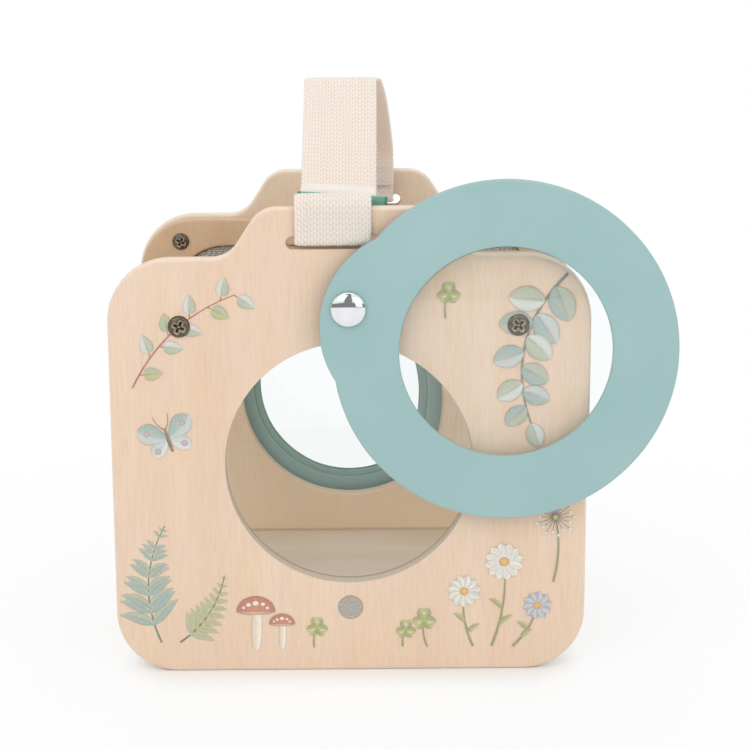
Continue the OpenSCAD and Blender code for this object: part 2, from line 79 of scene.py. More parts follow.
FRONT_Y = span("front_plate", 1)
REAR_Y = span("rear_plate", 1)
PLATE_HALF = span("front_plate", 0)[1]
HUMP_TOP = span("front_plate", 2)[1]
PIVOT_Z = middle("front_rivet")[2]
LID_R = span("rear_lid", 0)[1]
LID_ARM = PIVOT_Z - (span("rear_lid", 2)[0] + LID_R)
LID_EAR_OUT = span("rear_lid", 2)[1] - PIVOT_Z
LENS_R = extent("rear_lens", 0) / 2

# Sizes inside the boxes
SHOULDER_Z = 137.5 * MM
CORNER_R = 20 * MM
HUMP_HALF = 22.2 * MM
HUMP_R = 10 * MM
HUMP_SLOPE = np.radians(57)
WINDOW_R = 40 * MM
WINDOW_DROP = 0.7 * MM
WINDOW_Z = PIVOT_Z - LID_ARM - WINDOW_DROP
SLOT_HALF = 19.5 * MM
SLOT_R = 2.1 * MM
SLOT_Z = HUMP_TOP - 11 * MM
RIM_CORNER_R = 19 * MM
CANOPY_R = 20 * MM
LID_EAR_R = 31.2 * MM
LID_HOLE_R = 33.6 * MM
LID_OPEN = np.radians(74)
EDGE_STEPS = 5


# Meshes from arrays

def joined(*parts):
    """Points from arrays of their coordinates, of shapes that broadcast."""
    return np.stack(np.broadcast_arrays(*parts), -1)


def unit(vectors):
    """The same directions with length 1."""
    return vectors / np.linalg.norm(vectors, axis=-1, keepdims=True)


def left_of(flat):
    """Flat vectors turned by a quarter to the left."""
    return joined(-flat[:, 1], flat[:, 0])


def grid_faces(rows, cols, wrap, loop=False):
    """Quads of a rows x cols grid of points numbered row by row; wrap joins the last column to the first,
    and loop the last row to the first."""
    r, c = np.meshgrid(np.arange(rows if loop else rows - 1), np.arange(cols if wrap else cols - 1), indexing="ij")
    below, right = (r + 1) % rows, (c + 1) % cols
    return joined(r * cols + c, below * cols + c, below * cols + right, r * cols + right).reshape(-1, 4)


def closed_rows(rows):
    """Surface whose rows are closed rings, with a fan about the middle of the first and of the last ring:
    (points, [quads, triangles])."""
    count, size = rows.shape[:2]
    points = np.concatenate([rows.reshape(-1, 3), rows[0].mean(0)[None], rows[-1].mean(0)[None]])
    ring, last = np.arange(size), (count - 1) * size
    after = (ring + 1) % size
    start, end = joined(ring, after, count * size), joined(last + after, last + ring, count * size + 1)
    return points, [grid_faces(count, size, wrap=True), np.concatenate([start, end])]


def volume_of(points, faces):
    """Signed volume inside closed faces: the sum of the tetrahedra from the origin to each face's triangles."""
    total = 0.0
    for quad in faces:
        for k in range(1, quad.shape[1] - 1):
            a, b, c = points[quad[:, 0]], points[quad[:, k]], points[quad[:, k + 1]]
            total += np.einsum("ij,ij->", a, np.cross(b, c))
    return total


def show(name, data):
    """Object of the given data, linked to the scene."""
    made = bpy.data.objects.new(name, data)
    bpy.context.scene.collection.objects.link(made)
    return made


def add_piece(name, points, faces, finish, body, slot, closed=True, sharp=None, shades=True, replaces=(),
              **attributes):
    """A smooth piece from an array of points and a list of face arrays. A closed piece whose volume comes out negative
    has its faces turned round. Edges past the sharp angle, in degrees, stay hard. A piece that doesn't shade lets the
    light pass. Attributes are arrays per point, one number or four each."""
    points = np.asarray(points, float).reshape(-1, 3)
    if closed and volume_of(points, faces) < 0:
        faces = [f[:, ::-1] for f in faces]
    corners = np.concatenate([f.ravel() for f in faces]).astype(np.int32)
    sizes = np.concatenate([np.full(len(f), f.shape[1]) for f in faces])
    mesh = bpy.data.meshes.new(name)
    mesh.vertices.add(len(points))
    mesh.vertices.foreach_set("co", points.astype(np.float32).ravel())
    mesh.loops.add(len(corners))
    mesh.loops.foreach_set("vertex_index", corners)
    mesh.polygons.add(len(sizes))
    mesh.polygons.foreach_set("loop_start", np.concatenate([[0], np.cumsum(sizes)[:-1]]).astype(np.int32))
    mesh.polygons.foreach_set("use_smooth", np.ones(len(sizes), bool))
    for key, values in attributes.items():
        colour = np.ndim(values) == 2
        layer = mesh.attributes.new(key, "FLOAT_COLOR" if colour else "FLOAT", "POINT")
        layer.data.foreach_set("color" if colour else "value", np.asarray(values, np.float32).ravel())
    mesh.update(calc_edges=True)
    if sharp:
        mesh.set_sharp_from_angle(angle=np.radians(sharp))
    mesh.materials.append(finish)
    piece = show(name, mesh)
    piece.visible_shadow = piece.visible_diffuse = shades
    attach(piece, body)
    if replaces:
        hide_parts(*replaces)


class Pile:
    """Points, faces and attributes of several surfaces, gathered into one mesh."""

    def __init__(self):
        self.points, self.faces, self.extra, self.count = [], {}, {}, 0

    def add(self, points, *faces, **attributes):
        points = np.asarray(points, float).reshape(-1, 3)
        for f in faces:
            self.faces.setdefault(f.shape[1], []).append(f + self.count)
        for key, values in attributes.items():
            self.extra.setdefault(key, []).append(values)
        self.points.append(points)
        self.count += len(points)

    def result(self):
        """(points, face arrays, attributes) of the whole pile."""
        extra = {k: np.concatenate(v) for k, v in self.extra.items()}
        return np.concatenate(self.points), [np.concatenate(f) for f in self.faces.values()], extra


# Outlines in X and Z

def arc(cx, cz, r, start, end, steps=16):
    """Points on a circle about (cx, cz), from one angle to another, in degrees."""
    a = np.radians(np.linspace(start, end, steps + 1))
    return joined(cx + r * np.cos(a), cz + r * np.sin(a))


def circle(cx, cz, r, steps=128):
    """Closed circle, counter-clockwise."""
    return arc(cx, cz, r, 0, 360, steps)[:-1]


def with_mirror(right):
    """Closed outline from its right half, which runs upwards; points on the axis x = 0 aren't doubled."""
    left = right[::-1] * [-1, 1]
    return np.concatenate([right, left[left[:, 0] < -1e-9]])


def plate_outline():
    """Outline of a plate: two round lower corners, two round shoulders and the hump with its hollow feet.
    The flank's length is the rise that the two arcs leave, over the sine of its slope."""
    rise = HUMP_TOP - SHOULDER_Z
    flank = (rise - 2 * HUMP_R * (1 - np.cos(HUMP_SLOPE))) / np.sin(HUMP_SLOPE)
    foot = HUMP_HALF + 2 * HUMP_R * np.sin(HUMP_SLOPE) + flank * np.cos(HUMP_SLOPE)
    slope = np.degrees(HUMP_SLOPE)
    return with_mirror(np.concatenate([
        arc(PLATE_HALF - CORNER_R, CORNER_R, CORNER_R, -90, 0),
        arc(PLATE_HALF - CORNER_R, SHOULDER_Z - CORNER_R, CORNER_R, 0, 90),
        arc(foot, SHOULDER_Z + HUMP_R, HUMP_R, -90, -90 - slope),
        arc(HUMP_HALF, HUMP_TOP - HUMP_R, HUMP_R, 90 - slope, 90),
    ]))


def slot_outline():
    """The strap slot: a bar with half-round ends."""
    reach = SLOT_HALF - SLOT_R
    return with_mirror(arc(reach, SLOT_Z, SLOT_R, -90, 90))


def arch_outline(half, low, roof, r):
    """An arch with a flat roof and two round bends, closed by a straight sill."""
    return with_mirror(np.concatenate([[[half, low]], arc(half - r, roof - r, r, 0, 90)]))


def lid_outline():
    """Ring and ear of a hanging lid about its pivot at (0, 0): two circles. They meet at a height above the ring's
    centre of the ring's radius squared, less the ear's, plus the centres' distance squared, over twice that
    distance."""
    apart = LID_ARM + LID_EAR_OUT - LID_EAR_R
    meet = (LID_R ** 2 - LID_EAR_R ** 2 + apart ** 2) / (2 * apart)
    on_ring = np.degrees(np.arcsin(meet / LID_R))
    on_ear = np.degrees(np.arcsin((meet - apart) / LID_EAR_R))
    return with_mirror(np.concatenate([
        arc(0, -LID_ARM, LID_R, -90, on_ring, 96),
        arc(0, LID_EAR_OUT - LID_EAR_R, LID_EAR_R, on_ear, 90, 24)[1:],
    ]))


def swung(points, angle):
    """Outline points about a pivot, swung by an angle from hanging straight down towards +X, in the plates' place."""
    c, s = np.cos(angle), np.sin(angle)
    return points @ np.array([[c, s], [-s, c]]) + [0, PIVOT_Z]


def edge_rows(thickness, edge):
    """Profile of a board's edge as rows of (inset, depth): a quarter circle from the outer face to the wall,
    the wall, and a quarter circle to the inner face."""
    a = np.linspace(0, np.pi / 2, EDGE_STEPS + 1)
    outer = joined(edge * (1 - np.sin(a)), edge * (1 - np.cos(a)))
    return np.concatenate([outer, outer[::-1] * [1, -1] + [0, thickness]])


def seat_rows(thickness, edge, lip, wider):
    """Profile of a hole with a seat behind its lip: the edge's rows, moved out by wider below the lip."""
    rows = edge_rows(thickness, edge)
    half = len(rows) // 2
    ledge = np.array([[0, lip], [wider, lip]])
    return np.concatenate([rows[:half], ledge, rows[half:] + [wider, 0]])


def fill(points, rings):
    """Triangles over the first ring of point numbers, with the other rings left open."""
    ring = np.concatenate(rings)
    owner = np.repeat(np.arange(len(rings)), [len(r) for r in rings])
    starts = np.cumsum([0] + [len(r) for r in rings])
    links = [(int(first + i), int(first + (i + 1) % len(r))) for first, r in zip(starts, rings) for i in range(len(r))]
    flat = [Vector(p) for p in points[ring][:, [0, 2]].tolist()]
    _, _, tris, origin, _, _ = delaunay_2d_cdt(flat, links, [], 1, 1e-9)
    tris = np.array([[origin[k][0] for k in t] for t in tris])
    own = owner[tris]
    in_hole = (own[:, 0] > 0) & (own[:, 0] == own[:, 1]) & (own[:, 1] == own[:, 2])
    return ring[tris[~in_hole]]


def rounded_slab(loops, pockets):
    """Board from closed loops, each a pair of outline points and profile rows of (inset, depth):
    (points, [wall quads, cap triangles]). The outline comes first and runs counter-clockwise, holes clockwise.
    A point moves into the board along its mitre, the sum of its two sides' normals over one plus their product.
    Pockets are loops whose profile ends inside the board: (outline points, rows, True for the outer face)."""
    points, walls, first_rings, last_rings, count = [], [], [], [], 0
    for loop, rows in [*loops, *[pocket[:2] for pocket in pockets]]:
        after = -left_of(unit(np.roll(loop, -1, 0) - loop))
        before = np.roll(after, 1, 0)
        mitre = (before + after) / (1 + np.sum(before * after, 1))[:, None]
        flat = loop[None] - mitre[None] * rows[:, 0, None, None]
        points.append(joined(flat[..., 0], rows[:, 1, None], flat[..., 1]).reshape(-1, 3))
        walls.append(grid_faces(len(rows), len(loop), wrap=True) + count)
        first_rings.append(count + np.arange(len(loop)))
        last_rings.append(count + (len(rows) - 1) * len(loop) + np.arange(len(loop)))
        count += len(points[-1])
    points = np.concatenate(points)
    through = len(loops)
    outer, inner, caps = first_rings[:through], last_rings[:through], []
    for k, (_, _, on_outer) in enumerate(pockets, through):
        if on_outer:
            outer.append(first_rings[k])
            caps.append(fill(points, [last_rings[k]]))
        else:
            inner.append(last_rings[k])
            caps.append(fill(points, [first_rings[k]])[:, ::-1])
    caps += [fill(points, outer), fill(points, inner)[:, ::-1]]
    return points, [np.concatenate(walls), np.concatenate(caps)]


def turned(profile, centre, segments):
    """Surface of a profile of (radius, y) carried round the Y axis through centre (x, z), closed at both ends."""
    r, y = np.asarray(profile, float).T[:, :, None]
    a = np.arange(segments) * TURN / segments
    return closed_rows(joined(centre[0] + r * np.cos(a), y, centre[1] + r * np.sin(a)))


# Routes

def even_route(points, spacing, closed=False):
    """The same route with evenly spaced points: (points, distance of each along it, whole length)."""
    if closed:
        points = np.concatenate([points, points[:1]])
    run = np.concatenate([[0], np.cumsum(np.linalg.norm(np.diff(points, axis=0), axis=1))])
    at = np.linspace(0, run[-1], int(round(run[-1] / spacing)) + 1)
    route = np.stack([np.interp(at, run, c) for c in points.T], -1)
    return (route[:-1], at[:-1], run[-1]) if closed else (route, at, run[-1])


def bent_route(corners, radii):
    """Straight runs between corner points, with an arc of the given radius in each inner corner.
    The arc's centre lies on the corner's bisector, at the radius over the sine of half the corner's angle."""
    corners = np.asarray(corners, float)
    parts = [corners[:1]]
    for a, b, c, r in zip(corners[:-2], corners[1:-1], corners[2:], radii):
        u, v = unit(a - b), unit(c - b)
        half = np.arccos(u @ v) / 2
        centre = b + unit(u + v) * r / np.sin(half)
        start, end = [b + w * r / np.tan(half) - centre for w in (u, v)]
        first = np.arctan2(start[1], start[0])
        sweep = (np.arctan2(end[1], end[0]) - first + np.pi) % TURN - np.pi
        t = first + sweep * np.linspace(0, 1, 17)
        parts.append(centre + r * joined(np.cos(t), np.sin(t)))
    return np.concatenate([*parts, corners[-1:]])


def sideways(route, closed=False):
    """Unit normals to the left of a flat route."""
    return left_of(unit(np.roll(route, -1, 0) - np.roll(route, 1, 0) if closed else np.gradient(route, axis=0)))


# Procedural finishes

class Nodes:
    """A node tree with short calls for its nodes. An input takes a number, a colour or another node's output."""

    def __init__(self, tree):
        self.tree = tree

    def node(self, kind, inputs=None, **settings):
        made = self.tree.nodes.new(kind)
        for key, value in settings.items():
            setattr(made, key, value)
        for key, value in (inputs or {}).items():
            self.put(made.inputs[key], value)
        return made

    def put(self, socket, value):
        if isinstance(value, bpy.types.NodeSocket):
            self.tree.links.new(value, socket)
        else:
            socket.default_value = value

    def axes(self, vector):
        """The X, Y and Z of a vector."""
        return self.node("ShaderNodeSeparateXYZ", {0: vector}).outputs

    def ramp(self, factor, low, high, start=0.0, end=1.0):
        """Start where the factor is below low and end where it is above high, straight between."""
        return self.node("ShaderNodeMapRange", {"Value": factor, "From Min": low, "From Max": high,
                                                "To Min": start, "To Max": end}).outputs[0]

    def math(self, operation, a, b=0.0):
        return self.node("ShaderNodeMath", {0: a, 1: b}, operation=operation).outputs[0]

    def seen_directly(self):
        """1 for camera, glossy and transmission rays, which see the white studio, and 0 for the rays that light."""
        rays = self.node("ShaderNodeLightPath").outputs
        total = self.math("MAXIMUM", rays["Is Camera Ray"], rays["Is Glossy Ray"])
        return self.math("MAXIMUM", total, rays["Is Transmission Ray"])


class Finish(Nodes):
    """A material's nodes; object is the output of the piece's own coordinates."""

    def __init__(self, name):
        self.material = bpy.data.materials.new(name)
        self.material.use_nodes = True
        super().__init__(self.material.node_tree)
        self.shader = self.tree.nodes["Principled BSDF"]
        self.object = self.node("ShaderNodeTexCoord").outputs["Object"]

    def set(self, **values):
        for key, value in values.items():
            self.put(self.shader.inputs[key.replace("_", " ")], value)

    def attribute(self, name):
        """Number that each point of the mesh carries under a name."""
        return self.node("ShaderNodeAttribute", attribute_name=name).outputs["Fac"]

    def noise(self, scale, detail, roughness=0.5):
        """Noise on the object coordinates; scale is one number, or one per axis."""
        vector = self.object
        if isinstance(scale, tuple):
            vector, scale = self.node("ShaderNodeMapping", {"Vector": vector, "Scale": scale}).outputs[0], 1.0
        return self.node("ShaderNodeTexNoise", {"Vector": vector, "Scale": scale, "Detail": detail,
                                                "Roughness": roughness}).outputs["Fac"]

    def mix(self, factor, a, b, blend="MIX"):
        return self.node("ShaderNodeMix", {0: factor, 6: a, 7: b}, data_type="RGBA", blend_type=blend).outputs[2]

    def bump(self, height, distance, strength):
        made = self.node("ShaderNodeBump", {"Height": height, "Distance": distance, "Strength": strength})
        self.set(Normal=made.outputs[0])


def screen_to_linear(c):
    """Linear light from screen values of 0 to 1."""
    return np.where(c <= 0.04045, c / 12.92, ((c + 0.055) / 1.055) ** 2.4)


def paint(red, green, blue):
    """Linear colour with full alpha from screen values of 0 to 255."""
    return (*screen_to_linear(np.array([red, green, blue]) / 255), 1.0)


# Repeats per metre of the finishes' mottles
INK_MOTTLE = 900
LACQUER_DRIFT = 30
LACQUER_STIPPLE = 2600
LACQUER_PEEL = 1400
SCREW_MOTTLE = 2400
COTTON_FIBRE = 5200
RIBBON_RIBS = 1500.0
LENS_DUST = 700

# Each layer of the grain: repeats per metre across it and along it, detail and roughness
GRAIN_BANDS = (60, 6, 2.0, 0.5)
GRAIN_GOLDEN = (170, 40, 2.0, 0.5)
GRAIN_FIBRES = (1800, 100, 3.0, 0.6)
GRAIN_PORES = (2600, 170, 1.0, 0.5)
GRAIN_RELIEF = 0.06 * MM
GOLDEN_CAST = (1.0, 0.99, 0.93, 1.0)

PLATE_TONES = paint(237, 213, 191), paint(233, 206, 184), paint(208, 172, 140)
REAR_TONES = paint(233, 214, 191), paint(228, 208, 185), paint(200, 171, 140)
INNER_TONES = paint(216, 188, 158), paint(206, 176, 146), paint(178, 142, 110)
FLOOR_TONES = paint(232, 222, 207), paint(224, 213, 197), paint(197, 178, 157)
CUT_TONES = paint(216, 203, 187), paint(196, 181, 163)
# painted shade: dark line on the window wall's edge at the plate's inner face
BACK_EDGE_SHADE_TONE = paint(150, 137, 122)
# painted highlight: paler wood on the plate's edge wall and the window's outer edge
RIM_HIGHLIGHT_TONE = paint(246, 233, 218)
RIM_HIGHLIGHT_COVER = 0.45
# painted shade: a dark line on the rear plate's inner face where the floor board meets it
CORNER_SHADE_TONE = paint(120, 94, 70)
CORNER_SHADE_COVER = 0.3
CORNER_SHADE_LINE = 0.5 * MM
# painted light: wood paler low on the rear plate's inner face, towards the floor board
PAINTED_LIGHT_TONE = paint(247, 228, 202)
PAINTED_LIGHT_COVER = 0.6
PAINTED_LIGHT_START = 5 * MM
PAINTED_LIGHT_END = 35 * MM


def wood_tone(finish, pale, mid, dark, along):
    """Sanded close-grained wood: (colour, height). Broad tone bands, golden streaks, fine fibres and short darker
    pores, all drawn out along the grain, which is axis 0, 1 or 2."""
    bands, golden, fibres, pores = [
        finish.noise(tuple(length if axis == along else cross for axis in range(3)), detail, roughness)
        for cross, length, detail, roughness in (GRAIN_BANDS, GRAIN_GOLDEN, GRAIN_FIBRES, GRAIN_PORES)]
    tone = finish.mix(finish.ramp(bands, 0.3, 0.7), pale, mid)
    tone = finish.mix(finish.ramp(golden, 0.42, 0.7), tone, GOLDEN_CAST, "MULTIPLY")
    tone = finish.mix(finish.ramp(fibres, 0.4, 0.75, 0.0, 0.25), tone, dark)
    tone = finish.mix(finish.ramp(pores, 0.6, 0.8, 0.0, 0.3), tone, dark)
    return tone, finish.math("ADD", fibres, finish.math("MULTIPLY", pores, 0.6))


def wood_finish(name, tones, along=2, sawn=False, painted_corner=None):
    """Plain sanded wood. A sawn board has greyer wood where the point's cut is high, on the wall of the window, a
    painted shade line where the cut is highest, at the wall's inner edge, and paler wood, a painted highlight, where
    its rim is high, on the wall all round.
    Painted corner is a place (y, z): on the board's face at that depth a painted shade line runs just above that
    height, and painted light makes the wood paler towards it."""
    finish = Finish(name)
    tone, height = wood_tone(finish, *tones, along)
    if sawn:
        cut = finish.attribute("cut")
        tone = finish.mix(cut, tone, finish.mix(finish.ramp(height, 0.5, 1.1), *CUT_TONES))
        # painted shade: dark line where the cut is highest, on the window wall's inner edge
        tone = finish.mix(finish.ramp(cut, 1.7, 2.0), tone, BACK_EDGE_SHADE_TONE)
        # painted highlight: paler wood where the rim is high
        tone = finish.mix(finish.math("MULTIPLY", finish.attribute("rim"), RIM_HIGHLIGHT_COVER), tone, RIM_HIGHLIGHT_TONE)
    if painted_corner:
        face, foot = painted_corner
        _, y, z = finish.axes(finish.object)
        on_face = finish.ramp(y, face + 2 * CORNER_SHADE_LINE, face + CORNER_SHADE_LINE)
        off = finish.math("ABSOLUTE", finish.math("SUBTRACT", z, foot + CORNER_SHADE_LINE))
        # painted light pales the face towards the foot, and painted shade draws a dark line just above it
        for share, cast in ((finish.ramp(z, foot + PAINTED_LIGHT_END, foot + PAINTED_LIGHT_START, 0.0, PAINTED_LIGHT_COVER), PAINTED_LIGHT_TONE),
                            (finish.ramp(off, 1.8 * CORNER_SHADE_LINE, 0.4 * CORNER_SHADE_LINE, 0.0, CORNER_SHADE_COVER), CORNER_SHADE_TONE)):
            tone = finish.mix(finish.math("MULTIPLY", share, on_face), tone, cast)
    finish.set(Base_Color=tone, Roughness=0.62, Specular_IOR_Level=0.35)
    finish.bump(height, GRAIN_RELIEF, 0.35)
    return finish.material


def print_finish():
    """The plate's wood under a matt print: the ink colour of each point covers the wood by its alpha, which a
    fine mottle breaks up as on a printed wash."""
    finish = Finish("printed_wood")
    tone, height = wood_tone(finish, *PLATE_TONES, 2)
    ink = finish.node("ShaderNodeAttribute", attribute_name="ink")
    mottle = finish.noise(INK_MOTTLE, 4.0, 0.65)
    cover = finish.math("MULTIPLY", ink.outputs["Alpha"], finish.ramp(mottle, 0.05, 0.55))
    washed = finish.mix(finish.ramp(mottle, 0.45, 0.75, 0.0, 0.25), ink.outputs["Color"], paint(255, 255, 250))
    finish.set(Base_Color=finish.mix(cover, tone, washed), Roughness=0.6, Specular_IOR_Level=0.3)
    finish.bump(height, GRAIN_RELIEF, 0.3)
    return finish.material


def teal_finish():
    """Matt lacquer on wood: a slow drift of tone, a fine stipple and a faint orange-peel surface."""
    finish = Finish("teal_lacquer")
    stipple = finish.noise(LACQUER_STIPPLE, 2.0)
    drift = finish.noise(LACQUER_DRIFT, 2.0)
    tone = finish.mix(finish.ramp(drift, 0.3, 0.7), paint(161, 193, 192), paint(155, 188, 188))
    tone = finish.mix(finish.ramp(stipple, 0.45, 0.8, 0.0, 0.12), tone, paint(138, 173, 174))
    finish.set(Base_Color=tone, Roughness=finish.ramp(stipple, 0.0, 1.0, 0.46, 0.6), Specular_IOR_Level=0.4)
    finish.bump(finish.noise(LACQUER_PEEL, 1.0), 0.04 * MM, 0.25)
    return finish.material


def metal_finish(name, tone_a, tone_b, roughness, scale, metallic=1.0, relief=0.02 * MM):
    """Plated metal: two tones mottled at the given scale, with roughness that follows the mottle."""
    finish = Finish(name)
    mottle = finish.noise(scale, 4.0, 0.6)
    finish.set(Base_Color=finish.mix(finish.ramp(mottle, 0.35, 0.65), tone_a, tone_b), Metallic=metallic,
               Roughness=finish.ramp(mottle, 0.3, 0.7, 0.75 * roughness, 1.3 * roughness))
    finish.bump(mottle, relief, 0.4)
    return finish.material


def screw_finish():
    """Antique plating: brown with mottled wear, bright metal where the point's wear and highlight is high, partly wear
    and partly painted highlight, and dark recesses, a painted shade.
    """
    finish = Finish("antique_screw")
    mottle = finish.noise(SCREW_MOTTLE, 4.0, 0.7)
    # wear and painted highlight: bright metal on the recess rim, the middle and an outer ring
    worn_and_lit = finish.math("MULTIPLY", finish.attribute("wear"), 0.55)
    bright = finish.ramp(finish.math("ADD", worn_and_lit, mottle), 0.72, 1.2)
    tone = finish.mix(finish.ramp(mottle, 0.35, 0.7), paint(78, 68, 60), paint(124, 112, 100))
    # painted shade: near-black tone in the cross recess
    tone = finish.mix(finish.math("MULTIPLY", finish.attribute("recess"), 0.85), tone, paint(30, 24, 20))
    finish.set(Base_Color=finish.mix(bright, tone, paint(228, 210, 180)), Metallic=0.85,
               Roughness=finish.ramp(mottle, 0.0, 1.0, 0.28, 0.55))
    finish.bump(mottle, 0.04 * MM, 0.4)
    return finish.material


def webbing_finish():
    """Cotton webbing: cream where the point's pale is high and peach-brown in the weave's hollows, a painted shade,
    with fibre fuzz.
    """
    finish = Finish("cotton_webbing")
    fibre = finish.noise(COTTON_FIBRE, 3.0, 0.6)
    # painted shade: peach-brown in the weave's hollows where pale is low
    tone = finish.mix(finish.ramp(finish.attribute("pale"), 0.0, 0.9), paint(228, 201, 180), paint(242, 233, 225))
    tone = finish.mix(finish.ramp(fibre, 0.4, 0.8, 0.0, 0.25), tone, paint(234, 218, 204))
    finish.set(Base_Color=tone, Roughness=0.92, Specular_IOR_Level=0.15, Sheen_Weight=0.25, Sheen_Roughness=0.5,
               Subsurface_Weight=0.5, Subsurface_Radius=(1.0, 0.7, 0.5), Subsurface_Scale=2.5 * MM)
    finish.bump(fibre, 0.16 * MM, 0.8)
    return finish.material


def ribbon_finish():
    """Woven ribbon: fine cross ribs over two close greens, darker where the point's fold shade is high, a painted
    shade at the folds.
    """
    finish = Finish("teal_ribbon")
    ribs = finish.node("ShaderNodeTexWave", {"Vector": finish.object, "Scale": RIBBON_RIBS, "Distortion": 1.0,
                                             "Detail": 2.0}, wave_type="BANDS", bands_direction="X").outputs["Fac"]
    tone = finish.mix(ribs, paint(106, 166, 145), paint(130, 186, 165))
    # painted shade: darker green at the folds near each end
    finish.set(Base_Color=finish.mix(finish.attribute("fold"), tone, paint(48, 96, 80)), Roughness=0.6,
               Sheen_Weight=0.2)
    finish.bump(ribs, 0.08 * MM, 0.5)
    return finish.material


def lens_finish():
    """Clear polished lens with a trace of fine dust in its roughness."""
    finish = Finish("clear_lens")
    finish.set(Base_Color=paint(250, 253, 253), Transmission_Weight=1.0, IOR=1.45,
               Roughness=finish.ramp(finish.noise(LENS_DUST, 4.0, 0.7), 0.5, 0.9, 0.0, 0.06))
    return finish.material


PLATE_WOOD = wood_finish("plate_wood", PLATE_TONES, sawn=True)
REAR_PLATE_WOOD = wood_finish("rear_plate_wood", REAR_TONES, sawn=True, painted_corner=(REAR_Y[0], span("floor_board", 2)[1]))
RIM_WOOD = wood_finish("rim_wood", INNER_TONES)
FLOOR_WOOD = wood_finish("floor_wood", FLOOR_TONES, along=0)
DOWEL_WOOD = wood_finish("dowel_wood", INNER_TONES, along=1)
PRINT = print_finish()
TEAL = teal_finish()
LENS = lens_finish()
CHROME = metal_finish("polished_chrome", paint(238, 239, 241), paint(230, 231, 234), 0.05, 260, relief=0.0005 * MM)
NICKEL = metal_finish("magnet_nickel", paint(200, 192, 183), paint(178, 170, 161), 0.42, 1600)
ZINC = metal_finish("washer_zinc", paint(190, 190, 190), paint(160, 161, 163), 0.35, 1500)
WIRE = metal_finish("galvanised_wire", paint(178, 178, 174), paint(138, 139, 137), 0.4, 1200)
STAPLE = metal_finish("staple_wire", paint(196, 196, 196), paint(168, 168, 170), 0.3, 1500)
CLIP = metal_finish("lens_clip", paint(152, 188, 183), paint(145, 181, 177), 0.5, 1200, metallic=0.0)
SCREW = screw_finish()
WEBBING = webbing_finish()
RIBBON = ribbon_finish()


# Wooden pieces and lids

EDGE_PLATE = 1.2 * MM
EDGE_CUT = 0.3 * MM
EDGE_RIM = 0.8 * MM
EDGE_LID = 0.7 * MM
EDGE_POCKET = 0.15 * MM
POCKET_R = 4.05 * MM
MAGNET_T = 2 * MM
MAGNET_Z = middle("front_plate_magnet")[2]
SHANK_R = 2 * MM
BORE_R = SHANK_R + 0.06 * MM
SMALL_STEPS = 48
SHARP_BOARD = 35
SHARP_TURNED = 40
PLATE_T = extent("front_plate", 1)
LID_T = extent("front_lid", 1)
SIDES = (("front", -1), ("rear", 1))
LIDS = (("front", -1, LID_OPEN), ("rear", 1, 0.0))


def board(name, node, out, loops, edge, finish, body, slot, pockets=(), shares=None):
    """A rounded board in the depth that its CAD node fills; out is -1 where its outer face looks to the front.
    Each loop is an outline, or an outline with its own profile. shares gives attributes from the board's points."""
    plain = edge_rows(extent(node, 1), edge)
    points, faces = rounded_slab([loop if isinstance(loop, tuple) else (loop, plain) for loop in loops], pockets)
    extra = shares(points) if shares else {}
    points[:, 1] = ends(node, out)[0] - out * points[:, 1]
    add_piece(name, points, faces, finish, body, sharp=SHARP_BOARD, replaces=[node], slot=slot, **extra)


cut_rows = edge_rows(PLATE_T, EDGE_CUT)
plate_holes = circle(0, WINDOW_Z, WINDOW_R), slot_outline(), circle(0, PIVOT_Z, BORE_R, SMALL_STEPS)
plate_loops = [plate_outline(), *[(hole[::-1], cut_rows) for hole in plate_holes]]
pocket_rows = np.concatenate([edge_rows(2 * MAGNET_T, EDGE_POCKET)[:EDGE_STEPS + 1], [[0, MAGNET_T]]])
plate_pocket = (circle(0, MAGNET_Z, POCKET_R, SMALL_STEPS)[::-1], pocket_rows, True)


def plate_shares(points, greyed):
    """Cut is greyed on the wall of a plate's window and twice that on the wall's edge at the inner face, where it
    brings a painted shade line. Rim, which brings a painted highlight, is 1 on the wall all round and falls to 0 over
    its two edges, and it is 1 in the middle of the window's outer edge. The depths count from the outer face, and the
    outline's points come first."""
    depth = points[:, 1]
    cut = np.hypot(points[:, 0], points[:, 2] - WINDOW_Z) < WINDOW_R + EDGE_CUT / 4
    # mask of the painted shade line on the window wall's inner edge
    shaded_inner_edge = depth > PLATE_T - 1.1 * EDGE_CUT
    on_outline = np.arange(len(points)) < len(plate_loops[0]) * len(cut_rows)
    # rim: where the painted highlight falls on the walls and the window's lip
    wall = on_outline * np.clip(2 * np.minimum(depth, PLATE_T - depth) / EDGE_PLATE, 0, 1)
    lip = cut * np.clip(1 - np.abs(2 * depth / EDGE_CUT - 1), 0, 1)
    return {"cut": greyed * cut * (1.0 + shaded_inner_edge), "rim": wall + lip}


for (side, out), wood, greyed in zip(SIDES, (PLATE_WOOD, REAR_PLATE_WOOD), (1.0, 0.0)):
    board(f"{side}_plate_wood", f"{side}_plate", out, plate_loops, EDGE_PLATE, wood, "box", "plate_wood",
          [plate_pocket], lambda points: plate_shares(points, greyed))

